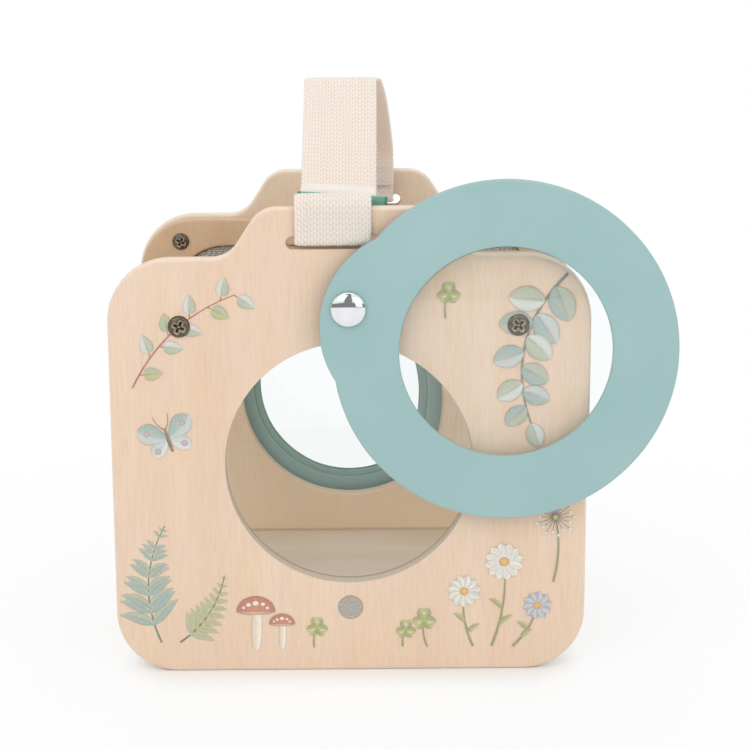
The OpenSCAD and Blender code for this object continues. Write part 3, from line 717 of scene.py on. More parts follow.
RIM_FIT = 0.2 * MM
rim_half = span("front_rim", 0)[1]
rim_low, rim_high = span("front_rim", 2)
rim_sill = span("floor_board", 2)[0]
canopy_half = span("mesh_canopy", 0)[1]
canopy_low, canopy_roof = span("mesh_canopy", 2)
rim_outer = with_mirror(np.concatenate([
    arc(rim_half - RIM_CORNER_R, rim_low + RIM_CORNER_R, RIM_CORNER_R, -90, 0),
    arc(rim_half - RIM_CORNER_R, rim_high - RIM_CORNER_R, RIM_CORNER_R, 0, 90)]))
rim_arch = arch_outline(canopy_half + RIM_FIT, rim_sill, canopy_roof + RIM_FIT, CANOPY_R + RIM_FIT)[::-1]
for side, out in SIDES:
    board(f"{side}_rim_wood", f"{side}_rim", out, [rim_outer, rim_arch], EDGE_RIM, RIM_WOOD, "box", "inner_wood")

LID_LIP = 1.2 * MM
LENS_SEAT = 2.3 * MM
lid_hole_rows = seat_rows(LID_T, EDGE_LID, LID_LIP, LENS_SEAT)
lid_bore_rows = edge_rows(LID_T, EDGE_CUT)
lid_pocket_rows = np.concatenate([[[0, LID_T - MAGNET_T]], edge_rows(LID_T, EDGE_POCKET)[EDGE_STEPS + 1:]])
for side, out, angle in LIDS:
    hole = swung(circle(0, -LID_ARM, LID_HOLE_R), angle)[::-1]
    bore = swung(circle(0, 0, BORE_R, SMALL_STEPS), angle)[::-1]
    pocket = swung(circle(0, MAGNET_Z - PIVOT_Z, POCKET_R, SMALL_STEPS), angle)[::-1]
    board(f"{side}_lid_ring", f"{side}_lid", out,
          [swung(lid_outline(), angle), (hole, lid_hole_rows), (bore, lid_bore_rows)], EDGE_LID, TEAL,
          f"{side}_lid", "teal_paint", [(pocket, lid_pocket_rows, False)])

LENS_FLANGE = 1.6 * MM
LENS_FIT = 0.1 * MM
LENS_EDGE = 0.2


def lens_profile(front, crown, back):
    """Lens as (radius, y) from the crown to the flat back: a shallow dome of the hole's radius, which falls as
    the radius squared, a short step out to the flange and the flange's edge; front is the flange's face towards the
    crown."""
    dome_r = LID_HOLE_R - LENS_FIT
    edge = front + (crown - front) * LENS_EDGE
    t = np.linspace(0.02, 1, 18)
    dome = joined(dome_r * t, crown + (edge - crown) * t ** 2)
    return np.concatenate([dome, [[dome_r, front], [LENS_R, front], [LENS_R, back], [LENS_R * 0.02, back]]])


for side, out, angle in LIDS:
    crown, back = ends(f"{side}_lens", out)
    centre = swung(np.array([[0, -LID_ARM]]), angle)[0]
    points, faces = turned(lens_profile(back + out * LENS_FLANGE, crown, back), centre, 128)
    add_piece(f"{side}_lens_glass", points, faces, LENS, f"{side}_lid", sharp=SHARP_TURNED, shades=False,
              replaces=[f"{side}_lens"], slot="lens_clear")

RIVET_R = 5.7 * MM
RIVET_CLEAR = 0.1 * MM
RIVET_WALL = 0.12
TAIL_R = 2.65 * MM
TAIL_H = 0.6 * MM


def rivet_profile(seat, crown, tail, end):
    """Rivet as (radius, y) from the crown to the tail's end: a dome whose radius is a sine and whose rise a cosine, on
    a low wall above the seat, then the shank and the wider tail."""
    a = np.linspace(0.03, np.pi / 2, 20)
    dome = joined(RIVET_R * np.sin(a), seat + (crown - seat) * (RIVET_WALL + (1 - RIVET_WALL) * np.cos(a)))
    return np.concatenate([dome, [[RIVET_R, seat], [SHANK_R, seat], [SHANK_R, tail], [TAIL_R, tail], [TAIL_R, end],
                                  [TAIL_R * 0.1, end]]])


for side, out in SIDES:
    crown, end = ends(f"{side}_rivet", out)
    seat = ends(f"{side}_lid", out)[0] + out * RIVET_CLEAR
    points, faces = turned(rivet_profile(seat, crown, end + out * TAIL_H, end), (0, PIVOT_Z), 96)
    add_piece(f"{side}_domed_rivet", points, faces, CHROME, "box", sharp=SHARP_TURNED, replaces=[f"{side}_rivet"],
              slot="rivet_chrome")


# Screw heads

RECESS_REACH = 0.6
RECESS_HALF = 0.19
RECESS_BLUR = 0.07
RECESS_DEPTH = 0.5
# spread and place of the screw heads' wear and painted highlight
WEAR_AND_HIGHLIGHT_BLUR = 0.2
WEAR_AND_HIGHLIGHT_RING = 0.84
FIRST_TURN = 0.45
TURN_STEP = 2


def screw_heads(name, node, places, r, seat, crown):
    """Domed heads with a cross recess, on rings of radius t and angle a about each place (x, z).
    The dome's height is the root of one less t squared. The recess is the larger of two bars, each the product of a
    soft step across its width and one along its reach; its recess attribute is a painted shade. Wear and painted
    highlight are highest on the recess's rim, in its middle and in a ring near the head's edge."""
    t = np.linspace(0.02, 1, 30)[:, None]
    a = np.arange(96) * TURN / 96

    def bar(long, short, blur):
        reach, half = [np.clip((edge - np.abs(at)) / blur + 0.5, 0, 1)
                       for edge, at in ((RECESS_REACH, long), (RECESS_HALF, short))]
        return reach * half

    pile = Pile()
    for number, (x, z) in enumerate(places):
        turn = a + TURN_STEP * number + FIRST_TURN
        u, v = t * np.cos(turn), t * np.sin(turn)
        recess, rim_zone = [np.maximum(bar(u, v, blur), bar(v, u, blur)) for blur in (RECESS_BLUR, WEAR_AND_HIGHLIGHT_BLUR)]
        height = np.sqrt(1.0001 - t ** 2) * (1 - RECESS_DEPTH * recess)
        rows = joined(x + r * t * np.cos(a), seat + (crown - seat) * height, z + r * t * np.sin(a))
        rim = rows[-1:] * [1, 0, 1] + [0, seat, 0]
        middle_spot = np.exp(-(t / 0.1) ** 2) + 0 * a
        edge_ring = 0.5 * np.exp(-((t - WEAR_AND_HIGHLIGHT_RING) / 0.08) ** 2) + 0 * a
        # wear and painted highlight: the recess rim, the middle spot and a ring near the edge
        wear = np.maximum(5.2 * rim_zone * (1 - rim_zone), np.maximum(1.2 * middle_spot, edge_ring))
        points, faces = closed_rows(np.concatenate([rows, rim]))
        # recess also carries the painted shade of the cross recess
        pile.add(points, *faces, wear=np.concatenate([wear.ravel(), np.zeros(len(a)), [1.2, 0]]),
                 recess=np.concatenate([(recess * (1 - middle_spot)).ravel(), np.zeros(len(a) + 2)]))
    points, faces, extra = pile.result()
    add_piece(name, points, faces, SCREW, "box", replaces=[node], slot="dark_bronze", **extra)


PLATE_SCREW_R = 3.55 * MM
RIM_SCREW_R = 3.05 * MM
plate_screw_x = span("front_plate_screws", 0)[1] - PLATE_SCREW_R
plate_screw_z = middle("front_plate_screws")[2]
PLATE_SCREWS = [(-plate_screw_x, plate_screw_z), (plate_screw_x, plate_screw_z)]
RIM_SCREWS = [(x * MM, z * MM) for x, z in ((-60.9, 128.6), (60.9, 128.6), (-70, 34), (70, 34))]
for side, out in SIDES:
    for kind, places, r, end in (("plate", PLATE_SCREWS, PLATE_SCREW_R, 0), ("rim", RIM_SCREWS, RIM_SCREW_R, 1)):
        screw_heads(f"{side}_{kind}_screw_heads", f"{side}_{kind}_screws", places, r,
                    ends(f"{side}_{kind}", out)[end], ends(f"{side}_{kind}_screws", out)[end])


# Woven wire canopy

WIRE_PITCH = 2.2 * MM
WIRE_R = 0.2 * MM


def wire_tubes(lines, side_a, side_b):
    """Wires of square section about lines of shape (wires, points, 3); side_a and side_b are the unit directions to
    the section's corners at each point. All wires are one array, and a quad closes each end."""
    count, long = lines.shape[:2]
    corners = np.stack([side_a, side_b, -side_a, -side_b], -2) * WIRE_R
    points = lines[:, :, None] + np.broadcast_to(corners, (count, long, 4, 3))
    ends_of_one = np.array([[0, 1, 2, 3], [4 * long - 1, 4 * long - 2, 4 * long - 3, 4 * long - 4]])
    faces = np.concatenate([grid_faces(long, 4, wrap=True), ends_of_one])
    return points.reshape(-1, 3), (faces[None] + 4 * long * np.arange(count)[:, None, None]).reshape(-1, 4)


skin = 2 * WIRE_R
leg_x, top_z = canopy_half - skin, canopy_roof - skin
arch, _, _ = even_route(bent_route([(-leg_x, canopy_low), (-leg_x, top_z), (leg_x, top_z), (leg_x, canopy_low)],
                                   [CANOPY_R - skin] * 2), WIRE_PITCH / 2)
arch_out = sideways(arch)
canopy_front, canopy_back = span("mesh_canopy", 1)
along_y = even_route(np.array([[canopy_front + skin], [canopy_back - skin]]), WIRE_PITCH / 2)[0][:, 0]


def canopy_wires(name, flat, outward, y, over, replaced):
    """Wires over arch points (x, z) with their normals at depths y, one per row. Each goes over and under the wires it
    crosses as a cosine of half a turn per pitch, starting with over, 1 or -1. Wires along the arch have a corner of
    their section in Y, and the others along the arch."""
    count, long = np.broadcast_shapes(flat.shape[:2], y.shape)
    wave = over * WIRE_R * np.cos(np.pi * (np.arange(long) / 2 + np.arange(count)[:, None]))
    normal = np.broadcast_to(joined(outward[..., 0], 0, outward[..., 1]), (count, long, 3))
    lines = joined(flat[..., 0], y, flat[..., 1]) + normal * wave[..., None]
    along_arch = len(flat) == 1
    side = np.broadcast_to([0, 1, 0], normal.shape) if along_arch else joined(normal[..., 2], 0, -normal[..., 0])
    points, faces = wire_tubes(lines, normal, side)
    add_piece(name, points, [faces], WIRE, "box", shades=False, replaces=replaced, slot="wire_mesh")


canopy_wires("canopy_cross_wires", arch[None], arch_out[None], along_y[::2, None], 1, ["mesh_canopy"])
canopy_wires("canopy_long_wires", arch[::2, None], arch_out[::2, None], along_y[None], -1, [])


# Webbing straps

WEB_T = 1.6 * MM
WEB_GAP = 0.3 * MM
WEB_COLUMNS = 24
WEB_PITCH = 1.7 * MM
WEB_STEP = 0.35 * MM
LOOP_SLACK = 1.2 * MM
CROWN_PRESS = 0.45 * MM
WEB_HALF = extent("front_strap_loop", 0) / 2
CORE_SHARE = 0.78
RELIEF_SHARE = 0.24
KNOT_SLANT = 0.22
GAP_DEPTH = 0.75
PRESS_SHARE = 0.85
SELVEDGE_SWELL = 0.012
SELVEDGE_ROUND = 18


def webbing(name, node, route, x_mid, lean, closed, plain=0.0):
    """Woven band along a route of (y, z): x_mid is its middle and lean the drop of its right edge at each point.
    Across the band u runs from -1 to 1. Half the thickness is a flat core with round selvedges plus the relief:
    ribs, each the root of a cosine across its width, less a part of that at the gaps between its knots, every second
    rib half a knot later and slanted the other way. The lower face has the knots where the upper one has its gaps.
    The tone darkens with the gap, most at a rib's sides, as a painted shade in the weave's hollows. Where plain is 1
    the band is pressed smooth."""
    path, at, length = route
    normal = sideways(path, closed)
    u = np.linspace(-1, 1, 5 * WEB_COLUMNS + 1)
    column = (u + 1) / 2 * WEB_COLUMNS
    rib = np.minimum(np.floor(column), WEB_COLUMNS - 1)
    within = column - rib - 0.5
    other = rib % 2
    knot = at[:, None] / (length / round(length / WEB_PITCH)) + 0.5 * other + KNOT_SLANT * within * (1 - 2 * other)
    ridge = np.abs(np.cos(np.pi * within)) ** 0.5
    core = np.sqrt(1 - np.abs(u) ** SELVEDGE_ROUND)
    plain = np.broadcast_to(plain, len(path))[:, None]

    def face(shift, sign, columns):
        gap = 0.5 - 0.5 * np.cos(TURN * (knot + shift))
        height = (ridge * (1 - GAP_DEPTH * gap))[:, columns]
        height = height + (0.5 - height) * PRESS_SHARE * plain
        half = WEB_T / 2 * (CORE_SHARE * core[columns] + RELIEF_SHARE * height * (1 - u[columns] ** 12))
        swell = 1 + SELVEDGE_SWELL * np.cos(TURN * knot[:, columns]) * np.abs(u[columns]) ** 30
        x = x_mid[:, None] + u[columns] * WEB_HALF * swell
        y = path[:, :1] + sign * normal[:, :1] * half
        z = path[:, 1:] + sign * normal[:, 1:] * half - lean[:, None] * u[columns]
        # painted shade in the weave's gaps, most at a rib's sides; none where pressed plain
        pale = 1 - ((1 - ridge + 0.3) * gap)[:, columns] * (1 - plain)
        return joined(x, y, z), pale

    upper, pale_up = face(0.0, 1, slice(None))
    lower, pale_low = face(0.5, -1, slice(-2, 0, -1))
    rows = np.concatenate([upper, lower], 1)
    pale = np.concatenate([pale_up, pale_low], 1).ravel()
    if closed:
        points, faces = rows.reshape(-1, 3), [grid_faces(*rows.shape[:2], wrap=True, loop=True)]
    else:
        points, faces = closed_rows(rows)
        pale = np.concatenate([pale, [0.5, 0.5]])
    add_piece(name, points, faces, WEBBING, "box", replaces=[node], slot="cream_webbing", pale=pale)


def loop_route(node):
    """Middle line of a strap loop: a crown that is a half-round pressed a little flat, two straight legs and a flat
    foot with bent corners, which hangs slack in the slot."""
    (y0, y1), (z0, z1) = span(node, 1), span(node, 2)
    mid, half = (y0 + y1) / 2, (y1 - y0 - WEB_T) / 2
    foot, crown = z0 + WEB_T / 2 - LOOP_SLACK, z1 - WEB_T / 2 - half
    bend = WEB_GAP + WEB_T / 2
    top = [0, crown] + arc(mid, 0, half, 0, 180, 32) * [1, 1 - CROWN_PRESS / half]
    return even_route(np.concatenate([
        [[mid, foot]], arc(mid + half - bend, foot + bend, bend, -90, 0, 8), top,
        arc(mid - half + bend, foot + bend, bend, 180, 270, 8)]), WEB_STEP, closed=True)


for side, _ in SIDES:
    route = loop_route(f"{side}_strap_loop")
    straight = np.zeros(len(route[0]))
    webbing(f"{side}_loop_webbing", f"{side}_strap_loop", route, straight + middle(f"{side}_strap_loop")[0], straight,
            closed=True)

HANDLE_FRONT_X = -2.8 * MM
HANDLE_CREST_X = -2 * MM
HANDLE_REAR_X = middle("rear_strap_loop")[0]
HANDLE_HEM = 9 * MM
HANDLE_SHELF = 5.2 * MM
HANDLE_RISE = 38.6 * MM
CREST_BEND = 5 * MM
SHELF_PRESS = 0.85
SHELF_Z = HUMP_TOP + 3.85 * MM
FRONT_END_Y = span("handle_strap", 1)[0] + WEB_T / 2
REAR_END_Y = span("handle_strap", 1)[1] - WEB_T / 2
REAR_BEND_Z = HUMP_TOP + 7.05 * MM
TAG_TILT = np.radians(4)
LAYER = WEB_T + WEB_GAP
CREST_Y = (FRONT_Y[0] + REAR_Y[1]) / 2


def handle_strap():
    """Band that is sewn to the front loop, lies on a shelf above it, rises straight to the crest and falls to the rear
    loop. Its middle moves in X with the share of Y up to the crest, and beyond it with the root of that share. The
    drop of its right edge fades from the tag's tilt to none at the crest. On the shelf it is pressed smooth."""
    route = even_route(bent_route([
        (FRONT_END_Y, SHELF_Z - HANDLE_HEM), (FRONT_END_Y, SHELF_Z), (FRONT_END_Y + HANDLE_SHELF, SHELF_Z),
        (CREST_Y, HUMP_TOP + HANDLE_RISE - WEB_T / 2), (REAR_END_Y, REAR_BEND_Z), (REAR_END_Y, SHELF_Z - HANDLE_HEM)],
        [LAYER, 2 * LAYER, CREST_BEND, 3 * LAYER]), WEB_STEP)
    y, at = route[0][:, 0], route[1]
    to_crest = np.minimum(1, (y - FRONT_END_Y) / (CREST_Y - FRONT_END_Y))
    past_crest = np.clip((y - CREST_Y) / (REAR_END_Y - CREST_Y), 0, 1)
    x_mid = (HANDLE_FRONT_X + (HANDLE_CREST_X - HANDLE_FRONT_X) * to_crest
             + (HANDLE_REAR_X - HANDLE_CREST_X) * np.sqrt(past_crest))
    shelf_start, shelf_end = HANDLE_HEM - LAYER, HANDLE_HEM + HANDLE_SHELF
    pressed = np.clip(np.minimum(at - shelf_start, shelf_end - at) / WEB_PITCH * 2 + 0.5, 0, 1)
    webbing("handle_webbing", "handle_strap", route, x_mid, np.tan(TAG_TILT) * (1 - to_crest) * WEB_HALF,
            closed=False, plain=SHELF_PRESS * pressed)


handle_strap()


STITCH_ROWS = np.array([0.8, 0.35])
STITCH_SPREAD = np.linspace(-0.8, 0.8, 7)


def hem_stitches():
    """Two rows of thread across each sewn end, on the side towards the middle of the box. A stitch is a short
    tube whose middle line rises as the root of one less t squared, with t from -1 to 1 along it."""
    t = np.linspace(-1, 1, 9)
    a = np.arange(6) * TURN / 6
    thread, reach, rise, sunk = 0.22 * MM, 1.15 * MM, 0.28 * MM, 0.1 * MM
    pile = Pile()
    for y, side, x_mid in ((FRONT_END_Y, 1, HANDLE_FRONT_X), (REAR_END_Y, -1, HANDLE_REAR_X)):
        for z in SHELF_Z - STITCH_ROWS * HANDLE_HEM:
            for x in x_mid + STITCH_SPREAD * WEB_HALF:
                lift = WEB_T / 2 - sunk + rise * np.sqrt(np.maximum(0, 1 - t ** 2))
                points, faces = closed_rows(joined(
                    x + reach * t[:, None], y + side * lift[:, None] + thread * np.cos(a), z + thread * np.sin(a)))
                pile.add(points, *faces, pale=np.full(len(points), 0.9))
    points, faces, extra = pile.result()
    add_piece("hem_stitches", points, faces, WEBBING, "box", slot="cream_webbing", **extra)


hem_stitches()


def ribbon_tag():
    """Ribbon folded to a flat tube, sewn in across the strap: an outer and an inner stadium section carried along
    its length, with a sine wave in the free ends, turned about its middle by the tilt. Fold shade, a painted shade
    at the folds, is a bell curve near each end."""
    mid = middle("strap_tag")
    long, tall, thick, wall = 28.8 * MM, 8.0 * MM, 1.0 * MM, 0.34 * MM
    a = np.linspace(0, TURN, 49)[:-1]
    x = np.linspace(-long / 2, long / 2, 120)[:, None]
    wave_height, wave_length, fold_in, fold_width = 0.12 * MM, 1.1 * MM, 0.6 * MM, 0.35 * MM
    free = np.clip((np.abs(x) - 0.42 * long) / (0.08 * long), 0, 1)
    wave = wave_height * free * np.sin(x / wave_length)

    def tube(half_t, half_h):
        y = half_t * np.cos(a) + wave
        z = (half_h - half_t) * np.sign(np.sin(a)) * np.minimum(1, np.abs(np.sin(a)) * 4) + half_t * np.sin(a)
        return joined(x, y, z)

    outer, inner = tube(thick / 2, tall / 2), tube(thick / 2 - wall, tall / 2 - wall)
    local = np.concatenate([outer.reshape(-1, 3), inner.reshape(-1, 3)])
    size, last = len(a), (len(x) - 1) * len(a)
    skin_quads = grid_faces(len(x), size, wrap=True)
    shift = len(x) * size
    ring, after = np.arange(size), (np.arange(size) + 1) % size
    start = joined(ring, after, after + shift, ring + shift)
    end = joined(last + after, last + ring, last + ring + shift, last + after + shift)
    c, s = np.cos(TAG_TILT), np.sin(TAG_TILT)
    points = joined(c * local[:, 0] + s * local[:, 2], local[:, 1], c * local[:, 2] - s * local[:, 0]) + mid
    # painted shade at the folds near each end
    fold = np.exp(-((long / 2 - np.abs(x) - fold_in) / fold_width) ** 2)
    add_piece("ribbon_tag", points, [skin_quads, skin_quads[:, ::-1] + shift, start, end], RIBBON, "box",
              replaces=["strap_tag"], slot="teal_ribbon", fold=np.tile(0.8 * np.repeat(fold, size), 2))


ribbon_tag()


# Printed plants on the front plate, drawn in millimetres of x and z

SAGE, LIME, OLIVE = (168, 188, 166), (178, 192, 120), (140, 158, 84)
TEAL_WASH, PALE_BLUE, MIST = (134, 176, 176), (192, 210, 212), (214, 226, 224)
VIOLET_BLUE, RUST, STEM_GREEN, STEM_TEAL = (150, 165, 200), (166, 84, 66), (120, 140, 92), (66, 104, 104)
STRAW, CREAM, UMBER = (222, 184, 104), (246, 240, 228), (120, 92, 72)
PRINT_LIFT = 0.02 * MM
PRINT_LAYER = 0.0015 * MM
INK_COVER = 0.9
STEM_COVER = 0.92


def bowed_line(start, end, bow, steps):
    """Line that bows to its left, by four t (1 - t) of the bow with t from 0 to 1: (t, points, unit headings)."""
    t = np.linspace(0, 1, steps)[:, None]
    along = np.subtract(end, start)
    side = np.array([-along[1], along[0]])
    line = np.array(start, float) + along * t + side * bow * 4 * t * (1 - t)
    return t, line, unit(along + side * bow * 4 * (1 - 2 * t))


class PlantPrint:
    """Flat patches of ink just before the plate's face, each a hair nearer than the one below it."""

    def __init__(self):
        self.pile, self.layers = Pile(), 0

    def lay(self, flat, tone, cover, wrap=False):
        """One patch from a grid of points (rows, columns, 2), its screen colours and how far it covers the wood."""
        rows, cols = flat.shape[:2]
        depth = FRONT_Y[0] - PRINT_LIFT - self.layers * PRINT_LAYER
        self.layers += 1
        flat = flat.reshape(-1, 2) * MM
        faces = grid_faces(rows, cols, wrap)
        corner = flat[faces]
        step, other = corner[:, 2] - corner[:, 0], corner[:, 3] - corner[:, 1]
        if np.sum(step[:, 0] * other[:, 1] - step[:, 1] * other[:, 0]) < 0:
            faces = faces[:, ::-1]
        tone = screen_to_linear(np.clip(np.broadcast_to(tone, (rows, cols, 3)).reshape(-1, 3) / 255, 0, 1))
        ink = np.concatenate([tone, np.broadcast_to(cover, (rows, cols)).reshape(-1, 1)], 1)
        self.pile.add(joined(flat[:, 0], depth, flat[:, 1]), faces, ink=ink)

    def strip(self, line, heading, off, tone, cover):
        """One patch along a line, from the distances to its left of each row's points."""
        self.lay(line[:, None] + left_of(heading)[:, None] * off[..., None], tone, cover)

    def leaf(self, base, tip, width, tones, bow=0.0, belly=0.8, blunt=0.9, vein=0.25):
        """Leaf or petal along a bowed middle line: t runs along it and v from -1 to 1 across. Its half-width is a
        sine of t to the power belly, raised to blunt. Each half has its own tone, with a darker vein and rim, and
        side veins as a cosine of t that lags towards the rim."""
        t, line, heading = bowed_line(base, tip, bow, 25)
        v = np.linspace(-1, 1, 13)
        half = np.maximum(width / 2 * np.abs(np.sin(np.pi * t ** belly)) ** blunt, 0.03)
        share = (0.5 + 0.5 * np.tanh(3 * v))[None, :, None]
        tone = np.array(tones[0]) * (1 - share) + np.array(tones[1]) * share
        veins = np.exp(-(v / 0.12) ** 2) * (1 - 0.5 * t) + 0.35 * np.cos(TURN * (5 * t - 0.9 * np.abs(v))) ** 8
        shade = 1 - vein * veins - 0.2 * np.abs(v) ** 8
        self.strip(line, heading, half * v, tone * shade[..., None],
                   INK_COVER * (1 - 0.22 * t * np.abs(np.cos(3 * v))))

    def stem(self, start, end, width, tone, bow=0.0):
        """Thin stroke along a bowed line, tapering to half its width: (points, unit headings)."""
        t, line, heading = bowed_line(start, end, bow, 21)
        self.strip(line, heading, width / 2 * (1 - 0.5 * t) * np.linspace(-1, 1, 3), tone, STEM_COVER)
        return line, heading

    def disc(self, centre, rx, rz, inner, outer, cover=INK_COVER, arc_turn=(0, 360)):
        """Round or half-round dab from polar rings, with one tone in the middle and another at the rim."""
        whole = arc_turn == (0, 360)
        a = np.radians(np.linspace(*arc_turn, 33))[:-1 if whole else None]
        r = np.linspace(0.02, 1, 7)[:, None]
        flat = joined(centre[0] + rx * r * np.cos(a), centre[1] + rz * r * np.sin(a))
        rim = r[..., None] ** 2
        self.lay(flat, np.array(inner) * (1 - rim) + np.array(outer) * rim, cover, wrap=whole)


def polar(centre, angle, reach):
    """Point at an angle in degrees and a distance from a centre."""
    return np.array([centre[0] + reach * np.cos(np.radians(angle)), centre[1] + reach * np.sin(np.radians(angle))])


def shoots(stem, first, last, count):
    """Even places on a stem between two shares of it: (number, share, point, heading in degrees) of each."""
    line, heading = stem
    for number, t in enumerate(np.linspace(first, last, count)):
        k = int(round(t * (len(line) - 1)))
        yield number, t, line[k], np.degrees(np.arctan2(heading[k, 1], heading[k, 0]))


def fern(face, base, tip, bow, pairs, reach, tones):
    """Frond: leaflets in pairs along a bowed stem, shorter towards the tip."""
    for _, t, foot, turn in shoots(face.stem(base, tip, 0.7, STEM_TEAL, bow), 0.16, 0.97, pairs):
        size = reach * (1.06 - t) ** 0.8
        for side in (-1, 1):
            face.leaf(foot, polar(foot, turn + side * 58, size), 0.34 * size, tones[::side], bow=-0.08 * side)


def round_leaf_branch(face, base, tip, bow, leaves, reach, tones):
    """Hanging branch with round leaves, set left and right in turn."""
    for number, t, foot, turn in shoots(face.stem(base, tip, 0.8, STEM_TEAL, bow), 0.1, 1, leaves):
        side = 1 - 2 * (number % 2) if number < leaves - 1 else 0
        size = reach * (1.05 - 0.35 * t)
        face.leaf(foot, polar(foot, turn + side * 62, size), 0.72 * size, tones[number % len(tones)],
                  belly=0.95, blunt=0.62)


def daisy(face, base, top, reach, petals, tones, bow):
    """Daisy: bowed stem with two narrow leaves, a ring of petals and a straw-coloured eye."""
    line, _ = face.stem(base, top, 0.75, STEM_GREEN, bow)
    for k, side in ((5, 1), (9, -1)):
        face.leaf(line[k], polar(line[k], 90 - side * 52, 0.9 * reach), 1.5, (LIME, OLIVE), bow=0.1 * side)
    for turn in np.arange(petals) * 360 / petals + 11:
        face.leaf(polar(top, turn, 0.14 * reach), polar(top, turn, reach), 0.5 * reach, tones, belly=1.35, blunt=0.75,
                  vein=0.1)
    face.disc(top, 0.27 * reach, 0.25 * reach, STRAW, (196, 140, 72))


def clover(face, base, top, reach):
    """Clover: a stem and three heart-shaped leaflets, each of two round lobes."""
    face.stem(base, top, 0.6, STEM_GREEN, 0.08)
    for turn in (90, 214, 326):
        for side in (-1, 1):
            face.leaf(top, polar(top, turn + 21 * side, reach), 0.72 * reach, (LIME, OLIVE)[::side], belly=1.25,
                      blunt=0.7, vein=0.12)
        face.disc(polar(top, turn, 0.5 * reach), 0.2 * reach, 0.12 * reach, (206, 216, 164), LIME)


def toadstool(face, foot, height, cap):
    """Toadstool: a tapering stalk, a shaded underside and a half-round cap with pale dots."""
    x, z = foot
    face.leaf((x, z - 0.4 * height), (x + 0.04 * height, z + 0.9 * height), 0.3 * height, (CREAM, (226, 212, 192)),
              belly=0.9, blunt=0.35, vein=0.0)
    face.disc((x, z + 0.72 * height), cap, 0.2 * cap, (214, 186, 160), (168, 128, 104))
    face.disc((x, z + 0.7 * height), cap, 0.85 * cap, (198, 112, 88), RUST, arc_turn=(0, 180))
    for turn, reach, size in ((90, 0.55, 0.15), (48, 0.66, 0.11), (134, 0.62, 0.12), (20, 0.74, 0.09),
                              (160, 0.78, 0.08)):
        spot = polar((x, z + 0.7 * height), turn, reach * cap * 0.85)
        face.disc(spot, size * cap, size * 0.85 * cap, CREAM, MIST)


def butterfly(face, centre, reach, turn):
    """Butterfly seen from above: two broad upper and two round lower wings with a dot each, body and feelers."""
    for side in (-1, 1):
        for lean, size, wide, tones in ((122, 0.74, 0.66, (PALE_BLUE, MIST)), (58, 1.0, 0.68, (TEAL_WASH, PALE_BLUE))):
            angle = turn + side * lean
            face.leaf(centre, polar(centre, angle, reach * size), wide * reach * size, tones[::side], belly=1.45,
                      blunt=0.6, vein=0.12)
            face.disc(polar(centre, angle, 0.68 * reach * size), 0.1 * reach, 0.1 * reach, VIOLET_BLUE, STEM_TEAL, 0.6)
        face.stem(polar(centre, turn, 0.3 * reach), polar(centre, turn + 16 * side, 0.85 * reach), 0.32, UMBER,
                  0.1 * side)
    face.leaf(polar(centre, turn + 180, 0.42 * reach), polar(centre, turn, 0.38 * reach), 0.13 * reach,
              (UMBER, (86, 66, 54)), blunt=0.4, vein=0.0)


def seed_clock(face, base, top, reach):
    """Seed head: a stem, spokes all round and a pale tuft at the end of each."""
    face.stem(base, top, 0.7, STEM_GREEN, -0.06)
    for number, turn in enumerate(np.arange(18) * 20):
        end = polar(top, turn, reach * (0.82 if number % 2 else 1.0))
        face.stem(top, end, 0.26, STEM_TEAL)
        face.disc(end, 0.55, 0.5, CREAM, PALE_BLUE, cover=0.8)
    face.disc(top, 0.9, 0.9, STRAW, OLIVE)


def vine(face, base, tip, bow, leaves, reach):
    """Thin vine with small heart leaves above and below in turn."""
    for number, _, start, turn in shoots(face.stem(base, tip, 0.55, RUST, bow), 0.12, 1, leaves):
        turn += 55 if number % 2 else -55
        foot = polar(start, turn, 0.25 * reach)
        face.stem(start, foot, 0.4, RUST)
        tones = (SAGE, MIST) if number % 3 else (LIME, SAGE)
        face.leaf(foot, polar(foot, turn, reach), 0.72 * reach, tones, belly=0.62, blunt=0.75)


def plant_print():
    """The plate's printed meadow."""
    face = PlantPrint()
    fern(face, (-62, 10), (-60, 50), 0.12, 12, 13, (SAGE, TEAL_WASH))
    fern(face, (-56, 10), (-41, 33), -0.1, 9, 9, (LIME, SAGE))
    butterfly(face, (-58, 79), 10.5, 108)
    vine(face, (-69, 96), (-36, 126), 0.1, 9, 6.2)
    toadstool(face, (-31, 12), 12, 6.4)
    toadstool(face, (-22.5, 10.5), 8, 4.3)
    clover(face, (-12, 8), (-11, 15), 3.6)
    clover(face, (17, 8), (18, 14), 3.4)
    clover(face, (25, 8), (24, 17.5), 4)
    daisy(face, (40, 8), (37, 27), 5.6, 11, (CREAM, PALE_BLUE), 0.07)
    daisy(face, (46, 8), (50, 37), 6.4, 12, (MIST, CREAM), -0.06)
    daisy(face, (53, 8), (61, 22), 4.8, 10, (PALE_BLUE, VIOLET_BLUE), -0.08)
    seed_clock(face, (66, 30), (66.5, 52), 6.2)
    round_leaf_branch(face, (69, 132), (58, 84), -0.16, 11, 11.5,
                      ((TEAL_WASH, SAGE), (SAGE, MIST), (TEAL_WASH, PALE_BLUE)))
    clover(face, (31, 118), (32, 126), 3.6)
    points, faces, extra = face.pile.result()
    add_piece("front_plant_print", points, faces, PRINT, "box", closed=False, slot="plate_wood", **extra)


plant_print()


# Plain CAD nodes that stay, with their finishes

kept = {"floor_board": FLOOR_WOOD, "left_dowel": DOWEL_WOOD, "right_dowel": DOWEL_WOOD, "floor_pins": DOWEL_WOOD,
        "mesh_staples": STAPLE}
for side, _ in SIDES:
    kept |= {f"{side}_plate_magnet": NICKEL, f"{side}_lid_magnet": NICKEL, f"{side}_spacer": ZINC,
             f"{side}_tail_washer": ZINC, f"{side}_lens_clip": CLIP}
for node, finish in kept.items():
    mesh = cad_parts[node].data
    mesh.materials.clear()
    mesh.materials.append(finish)


